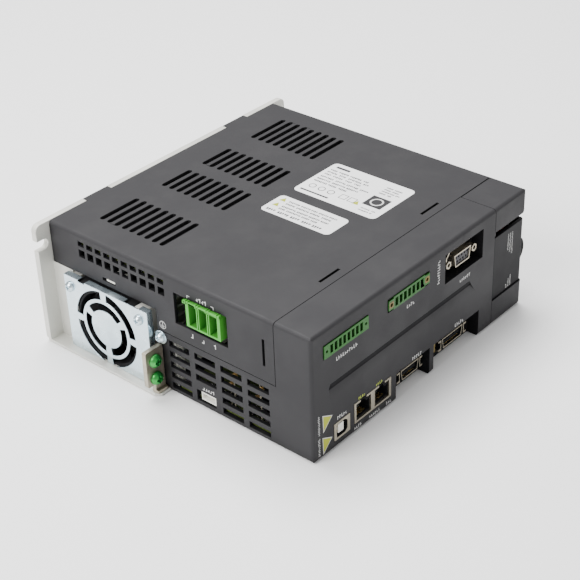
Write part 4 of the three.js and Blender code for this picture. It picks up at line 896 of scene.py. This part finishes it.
def power_pins(name, node, inward):
    low, high = node_span(node)
    middle = node_middle(node)
    height = middle.z - 1.0
    outer = low.x if inward > 0 else high.x
    ends = sorted((outer + inward * 5.5, outer + inward * 12.6))
    bm = bmesh.new()
    for y in in_row(middle.y - 0.9, 3, POWER_PITCH):
        add_box(bm, (ends[0], y - 0.6, height - 1.4), (ends[1], y + 0.6, height + 1.4))
    return build(name, bm, "nickel", edge=0.2)


header_pins("safety_pins", "safety_header", 8, 3.5)
header_pins("io_pins", "io_header", 7, 3.81)
for name, inward in (("motor", 1), ("mains", -1), ("regen", -1)):
    power_pins(name + "_pins", name + "_header", inward)

# %% Contacts of the ports
gold_wires = bmesh.new()
for node in ("network_insert_1", "network_insert_2"):
    floor_level = node_span(node)[0].z
    for x in in_row(node_middle(node).x, 8, JACK_PITCH):
        wire = rectangle(x - 0.18, floor_level + 1.0, x + 0.18, floor_level + 1.45)
        add_prism(gold_wires, wire, on_front, -10.5, -2.2)
build("network_contacts", gold_wires, "nickel", GOLD)


def tongue_contacts(name, node, shrink):
    low, high = node_span(node)
    middle = node_middle(node)
    count = int((high.x - low.x - 2 * shrink) / TONGUE_PITCH)
    bm = bmesh.new()
    for x in in_row(middle.x, count, TONGUE_PITCH):
        for side in (-1, 1):
            near, far = sorted(middle.z - 0.8 + side * level for level in (1.02, 1.3))
            add_box(bm, (x - 0.32, 4.1, near), (x + 0.32, 7.6, far))
    return build(name, bm, "nickel", GOLD)


tongue_contacts("encoder_contacts", "encoder_body", 7.7)
tongue_contacts("io_contacts", "io_body", 7.7)
usb_strips = bmesh.new()
for side in (-1, 1):
    for z in in_row(usb_middle.z, 2, 2.6):
        x = usb_middle.x - 0.3 + side * 2.4
        add_box(usb_strips, (x - 0.12, 1.2, z - 0.5), (x + 0.12, 7.5, z + 0.5))
build("usb_contacts", usb_strips, "nickel", GOLD)

# %% [markdown]
# ### Brass nuts
# The seven-pole header takes a plug with two screws, so each of its ears holds a square brass nut
# with a round hole. One helper makes such rings, square or round, and serves the printed rings
# too.

# %% Brass nuts in the header's ears
def add_ring(bm, spot, centre, hole, outer, low, high, square=False, sides=24):
    """Closed ring with a round hole; its outside is round or square."""
    rings = []
    for out, inner in ((low, True), (low, False), (high, False), (high, True)):
        ring = []
        for side in range(sides):
            angle = 2 * math.pi * (side + 0.5) / sides
            a, b = math.cos(angle), math.sin(angle)
            reach = outer / max(abs(a), abs(b)) if square else outer
            reach = hole if inner else reach
            ring.append(bm.verts.new(spot(centre[0] + reach * a, centre[1] + reach * b, out)))
        rings.append(ring)
    rings.append(rings[0])
    for first, second in zip(rings, rings[1:]):
        for side in range(sides):
            following = (side + 1) % sides
            bm.faces.new((first[side], second[side], second[following], first[following]))


EAR = 2.4
ears = node_span("io_header")
nut_height = node_middle("io_header").z
nuts = bmesh.new()
for x in (ears[0].x + EAR, ears[1].x - EAR):
    add_ring(nuts, on_front, (x, nut_height), 1.15, 1.9, -3.0, 0.68, square=True)
build("header_nuts", nuts, "nickel", BRASS)

# %% [markdown]
# ## Print
# White print names each connector. What the words say belongs to its maker, so each word is a row
# of small strokes of the same size and place instead: a bar for each letter, some tall, some
# short, with a cross stroke. They are thin solids, a few hundredths proud of the face, as thick
# ink would be.

# %% Print helpers
INK_LOW = -0.04
INK_HIGH = 0.035
STROKE_SHARE = 0.2
BOLD_SHARE = 0.45
LETTER_PITCH = 0.78


def add_word(bm, spot, start, finish_at, letter, seed, out=0.0, share=STROKE_SHARE):
    """A row of stroke marks from start to finish_at, both (across, up), with letters that high."""
    dice = random.Random(seed)
    run = Vector(finish_at) - Vector(start)
    length = run.length
    along = run / length
    up = Vector((-along.y, along.x))
    pitch = letter * LETTER_PITCH
    count = max(1, int(length / pitch))
    stroke = letter * share

    def bar(a0, b0, a1, b1):
        corners = [Vector(start) + along * a + up * b for a, b in rectangle(a0, b0, a1, b1)]
        add_prism(bm, corners, spot, out + INK_LOW, out + INK_HIGH)

    for index in range(count):
        left = index * pitch
        wide = letter * dice.choice((0.45, 0.55, 0.6))
        tall = letter * dice.choice((0.75, 1.0, 1.0))
        bar(left, 0, left + stroke, tall)
        rise = dice.choice((0.0, 0.4, 0.8)) * (tall - stroke)
        bar(left + stroke, rise, left + wide, rise + stroke)


def add_patch(bm, spot, outline, out=0.0, raised=0.0):
    add_prism(bm, outline, spot, out + INK_LOW, out + INK_HIGH + raised)


# %% [markdown]
# ### Front panel and fan end
# The words stand beside their connectors: below the two green headers and the round-cornered port,
# above the two small ports and the jacks. At the low corner are two warning triangles, left plain.

# %% Words on the front panel
front_words = bmesh.new()
WORDS = [
    ((19.9, 56.4), (38.8, 56.4), 2.3), ((80.8, 56.9), (89.5, 56.9), 2.3),
    ((131.3, 48.1), (142.4, 48.1), 2.3), ((86.7, 18.9), (96.2, 18.9), 2.3),
    ((127.9, 19.4), (138.1, 19.4), 2.3), ((20.0, 18.1), (29.6, 18.1), 2.2),
    ((34.3, 2.4), (42.4, 2.4), 2.1), ((47.5, 2.4), (57.4, 2.4), 2.1),
    ((62.7, 2.4), (68.9, 2.4), 2.1), ((111.1, 58.0), (111.1, 74.0), 2.2),
    ((5.4, 16.7), (5.4, 30.5), 1.5), ((5.4, 3.1), (5.4, 14.9), 1.5),
]
for number, (first, last, letter) in enumerate(WORDS):
    add_word(front_words, on_front, first, last, letter, number)
build("front_print", front_words, material=INK_WHITE)

# %% Print on the fan end
end_words = bmesh.new()
END_WORDS = [
    ((72.4, 71.4), (82.4, 71.4), 2.6), ((84.0, 45.4), (86.2, 45.4), 2.8),
    ((75.7, 45.4), (77.9, 45.4), 2.8), ((67.2, 45.4), (69.4, 45.4), 2.8),
    ((71.2, 12.9), (80.4, 12.9), 2.3),
]
for number, (first, last, letter) in enumerate(END_WORDS):
    add_word(end_words, on_fan_end, first, last, letter, 40 + number)
for inner, outer in ((84.6, 86.6), (66.9, 68.9)):
    add_patch(end_words, on_fan_end, rectangle(inner, 72.2, outer, 72.6))
for corner in (86.2, 66.9):
    add_patch(end_words, on_fan_end, rectangle(corner, 70.8, corner + 0.4, 72.2))
across, up = EARTH = (107.7, 44.6)
add_ring(end_words, on_fan_end, EARTH, 2.15, 2.5, INK_LOW, INK_HIGH)
add_patch(end_words, on_fan_end, rectangle(across - 0.2, up - 0.2, across + 0.2, up + 1.8))
for row, half in enumerate((1.4, 0.9, 0.4)):
    level = up - 0.5 - row * 0.6
    line = rectangle(across - half, level - 0.15, across + half, level + 0.15)
    add_patch(end_words, on_fan_end, line)
build("fan_end_print", end_words, material=INK_WHITE)

# %% Words over the jacks, and the warning triangles
lime_words = bmesh.new()
add_word(lime_words, on_front, (38.2, 20.4), (45.4, 20.4), 1.9, 60)
add_word(lime_words, on_front, (53.6, 20.4), (60.9, 20.4), 1.9, 61)
build("jack_print", lime_words, material=INK_LIME)


def shrunk(points, share):
    points = [Vector(point) for point in points]
    middle = sum(points, Vector((0, 0))) / len(points)
    return [middle.lerp(point, share) for point in points]


borders = bmesh.new()
signs = bmesh.new()
TRIANGLES = (((7.8, 27.9), (15.9, 23.9), (8.2, 16.4)), ((7.4, 13.6), (15.5, 9.6), (7.8, 2.2)))
for triangle in TRIANGLES:
    add_patch(borders, on_front, triangle)
    add_patch(signs, on_front, shrunk(triangle, 0.84), raised=0.02)
build("warning_borders", borders, material=INK_WHITE)
build("warning_signs", signs, material=INK_YELLOW)

# %% [markdown]
# ### Door
# The door carries two groups of small print, one at each end, and a black band down its hinge
# edge as painted shade.

# %% Print on the door
DOOR_FACE = -door_low.y
door_words = bmesh.new()
for column in range(3):
    across = 187.0 - column * 2.2
    for first, last, seed in ((41.3 + column * 2, 56.8, 70), (18.9, 26.6 - column * 2, 75)):
        ends = ((across, first), (across, last))
        add_word(door_words, on_front, *ends, 1.2, seed + column, DOOR_FACE)
# A black band down the hinge edge: painted shade.
edge_shade = bmesh.new()
hinge_edge = rectangle(door_low.x + 0.05, door_low.z + 0.3, door_low.x + 0.75, door_high.z - 0.3)
add_patch(edge_shade, on_front, hinge_edge, DOOR_FACE)
build("door_edge_shade", edge_shade, "black_plastic", body="door")
build("door_print", door_words, material=INK_WHITE, body="door")

# %% [markdown]
# ### Labels
# The rating label reads along the width of the drive. It holds a heading, lines of small print, a
# row of symbols and a grey block; the smaller label holds two triangles and five lines.

# %% Print on the labels
LABEL_OUT = -0.02


def label_spot(node):
    """A point on a label, from (distance along its lines, distance down its lines)."""
    high = node_span(node)[1]
    return lambda along, down, out: at(high.x - down, high.y - along, TOP_Z + out)


rating = label_spot("rating_label")
caution = label_spot("caution_label")
label_words = bmesh.new()


def add_lines(spot, rows, letter, seed):
    for number, (down, first, last) in enumerate(rows):
        dice = random.Random(seed + number)
        place = first
        while place < last - 1.5:
            word = min(last - place, dice.uniform(5, 11))
            run = ((place, down), (place + word, down))
            add_word(label_words, spot, *run, letter, seed * 7 + number, LABEL_OUT, BOLD_SHARE)
            place += word + letter * 0.4


add_patch(label_words, rating, rectangle(4, 3.2, 14, 5.2), LABEL_OUT)
RATING_LINES = [(8, 3, 33), (11, 3, 35), (14, 3, 31), (17.6, 3, 40), (20.8, 3, 36), (24, 3, 28)]
SIDE_LINES = [(6, 44, 57), (8.6, 44, 55), (11.2, 44, 57), (13.8, 44, 53), (34, 46, 57),
              (36.6, 46, 56)]
add_lines(rating, RATING_LINES, 1.6, 100)
add_lines(rating, SIDE_LINES, 1.2, 200)
add_patch(label_words, rating, rectangle(3, 37, 24, 38.4), LABEL_OUT)
for centre in (7, 14, 21):
    add_ring(label_words, rating, (centre, 31), 1.9, 2.4, INK_LOW, INK_HIGH)
BOX_SIDES = ((0, 0, 5, 0.4), (0, 4.6, 5, 5), (0, 0.4, 0.4, 4.6), (4.6, 0.4, 5, 4.6))
for left in (28, 34.5):
    for a0, b0, a1, b1 in BOX_SIDES:
        side = rectangle(left + a0, 28.5 + b0, left + a1, 28.5 + b1)
        add_patch(label_words, rating, side, LABEL_OUT)
add_lines(caution, [(3.5, 9, 45), (6.5, 9, 44), (10, 9, 45), (12.8, 9, 38)], 1.5, 300)
add_lines(caution, [(16.4, 3, 46)], 2.1, 320)
build("label_print", label_words, material=INK_GREY)

# %% Grey block and warning triangles on the labels
grey_block = bmesh.new()
add_patch(grey_block, rating, rectangle(43.5, 18.5, 56.5, 30.5), LABEL_OUT)
build("label_grey_block", grey_block, material=FINISHES["case_plastic"])
block_ring = bmesh.new()
add_ring(block_ring, rating, (50, 24.5), 3.2, 4.2, INK_LOW, INK_HIGH + 0.02)
build("label_block_ring", block_ring, material=INK_WHITE)

label_signs = bmesh.new()
for down in (2.0, 8.6):
    add_patch(label_signs, caution, [(2.6, down + 4), (7.0, down + 4), (4.8, down)], LABEL_OUT)
add_patch(label_signs, rating, [(38.5, 33.8), (43, 33.8), (40.7, 29.6)], LABEL_OUT)
build("label_signs", label_signs, material=INK_YELLOW)

# %% [markdown]
# ## Keypad and display
# Behind the door are five keys and a five-digit display. The drive lies on its side here, so its
# digits are turned by a quarter. Each digit is seven pointed bars; they are unlit, so a dull red.

# %% Digits
digit_low, digit_high = node_span("digit_display")
DIGIT_FACE = -digit_low.y
BAR = 0.85
BAR_HALF = 1.85
dull_red = finish("unlit segment", (0.28, 0.035, 0.03), 0.3, wear_highlight=0.0, dust=0.0, coat=0.4)
segments = bmesh.new()
digit_pitch = (digit_high.z - digit_low.z) / 5
x_middle = node_middle("digit_display").x


def add_segment(bm, centre, lengthwise):
    """One bar with pointed ends, lengthwise along x or across along z."""
    tip, neck, rise = BAR_HALF, BAR_HALF - BAR / 2, BAR / 2
    points = [(-tip, 0), (-neck, rise), (neck, rise), (tip, 0), (neck, -rise), (-neck, -rise)]
    if not lengthwise:
        points = [(b, a) for a, b in points]
    outline = [(centre[0] + a, centre[1] + b) for a, b in points]
    add_prism(bm, outline, on_front, DIGIT_FACE - 0.05, DIGIT_FACE + 0.05)


for index in range(5):
    z = digit_low.z + digit_pitch * (index + 0.5)
    for level in (-4, 0, 4):
        add_segment(segments, (x_middle + level, z), False)
    for level in (-2, 2):
        for side in (-2.05, 2.05):
            add_segment(segments, (x_middle + level, z + side), True)
build("display_segments", segments, "display_red", dull_red)

# %% Key marks
for key in KEYS:
    x, _, z = node_middle(key)
    mark = bmesh.new()
    shapes = {
        "mode_key": rectangle(x - 0.9, z - 0.3, x + 0.9, z + 0.3),
        "shift_key": [(x - 0.8, z - 0.9), (x + 0.8, z - 0.9), (x, z + 1.0)],
        "up_key": [(x - 0.9, z - 0.8), (x + 1.0, z), (x - 0.9, z + 0.8)],
        "down_key": [(x + 0.9, z - 0.8), (x - 1.0, z), (x + 0.9, z + 0.8)],
        "set_key": rectangle(x - 0.7, z - 0.7, x + 0.7, z + 0.7),
    }
    add_patch(mark, on_front, shapes[key], -node_span(key)[0].y)
    build(key + "_mark", mark, material=INK_GREY, body=BODY_OF[key])

# %% [markdown]
# ## What shows through the louvres
# Behind the vents lie the control board's edge and its parts. A few real shapes give depth there:
# cans with rounded tops, flat chips with legs, and small tan capacitors.

# %% Cans on the control board
BOARD_TOP = node_span("control_board")[1].z
cans = bmesh.new()
for x, y, radius, height in ((12, 44, 3.1, 11), (12, 62, 2.5, 9), (30, 60, 4.0, 16)):
    levels = [(0, -0.1), (radius, -0.1), (radius, 0.9), (radius - 0.25, 1.2), (radius, 1.6),
              (radius, height - 0.5), (radius - 0.5, height), (0, height)]
    add_turned(cans, [(reach, BOARD_TOP + level) for reach, level in levels], "z", (x, y))
build("board_cans", cans, "dark_module")

# %% Chips, legs and ceramics
tan = finish("ceramic capacitor", (0.36, 0.22, 0.07), 0.4, drift=0.12, wear_highlight=0.2)
chips = bmesh.new()
legs = bmesh.new()
tans = bmesh.new()
dice = random.Random(11)
for y in (38, 52, 71, 86, 97):
    add_box(chips, (7, y - 3, BOARD_TOP + 0.2), (13, y + 3, BOARD_TOP + 2.2))
    for step in range(5):
        offset = y - 2.4 + step * 1.2
        for x in (6.1, 12.9):
            foot = (x, offset - 0.2, BOARD_TOP - 0.05)
            add_box(legs, foot, (x + 1, offset + 0.2, BOARD_TOP + 0.8))
for y, z in ((41.6, 34.8), (60.6, 27.5), (41.0, 27.4), (63.5, 20.5), (44.5, 20.2)):
    add_rod(tans, "x", (y + dice.uniform(-0.3, 0.3), z), 1.5, 5.0, 7.6, 18, 0.5)
    add_box(legs, (5.6, y - 0.3, BOARD_TOP - 0.05), (6.2, y + 0.3, z - 1.0))
build("board_chips", chips, "dark_module", edge=0.15)
build("board_legs", legs, "nickel")
build("board_ceramics", tans, "copper_wire", tan)

# %% [markdown]
# ### Film and clip
# A black sheet lies over the power board as painted shade, so the slots in the cover look dark.
# Beside the wide port a small brass clip is bent out of strip. Both are plain folded sheets.

# %% Black sheet over the power board, painted shade
power_high = node_span("power_board")[1]
# This black sheet is painted shade seen through the cover's slots.
film = bmesh.new()
shade_film_corner = (CASE_LENGTH - 8, power_high.y - 3, power_high.z + 0.4)
add_box(film, (8, 108, power_high.z + 0.2), shade_film_corner)
build("power_board_shade_film", film, "black_plastic")

# %% Bent clip beside the wide port
clip = bmesh.new()
clip_x = io_low.x - 4.6
add_box(clip, (clip_x - 1.8, 3.0, 9.0), (clip_x + 1.4, 3.5, 15.6))
add_box(clip, (clip_x + 0.9, 3.5, 9.6), (clip_x + 1.4, 9.0, 15.0))
build("port_clip", clip, "nickel", BRASS, edge=0.12)

# %% [markdown]
# ## Grip groove
# Along the upper edge of the grip groove in the front panel lies a black strip as painted shade,
# tapering to a point at the fan end. It lies below the panel's face.

# %% Painted shade strip in the grip groove
GROOVE_TOP = 44.5
# A black strip under the groove's upper edge: painted shade.
strip = bmesh.new()
strip_outline = [(14.6, GROOVE_TOP - 1.2), (16.5, GROOVE_TOP - 2.3), (146.4, GROOVE_TOP - 2.3),
                 (147.4, GROOVE_TOP - 1.2), (147.0, GROOVE_TOP - 0.1), (15.4, GROOVE_TOP - 0.1)]
add_prism(strip, strip_outline, on_front, -1.6, -0.12)
build("groove_shade_strip", strip, "black_plastic")
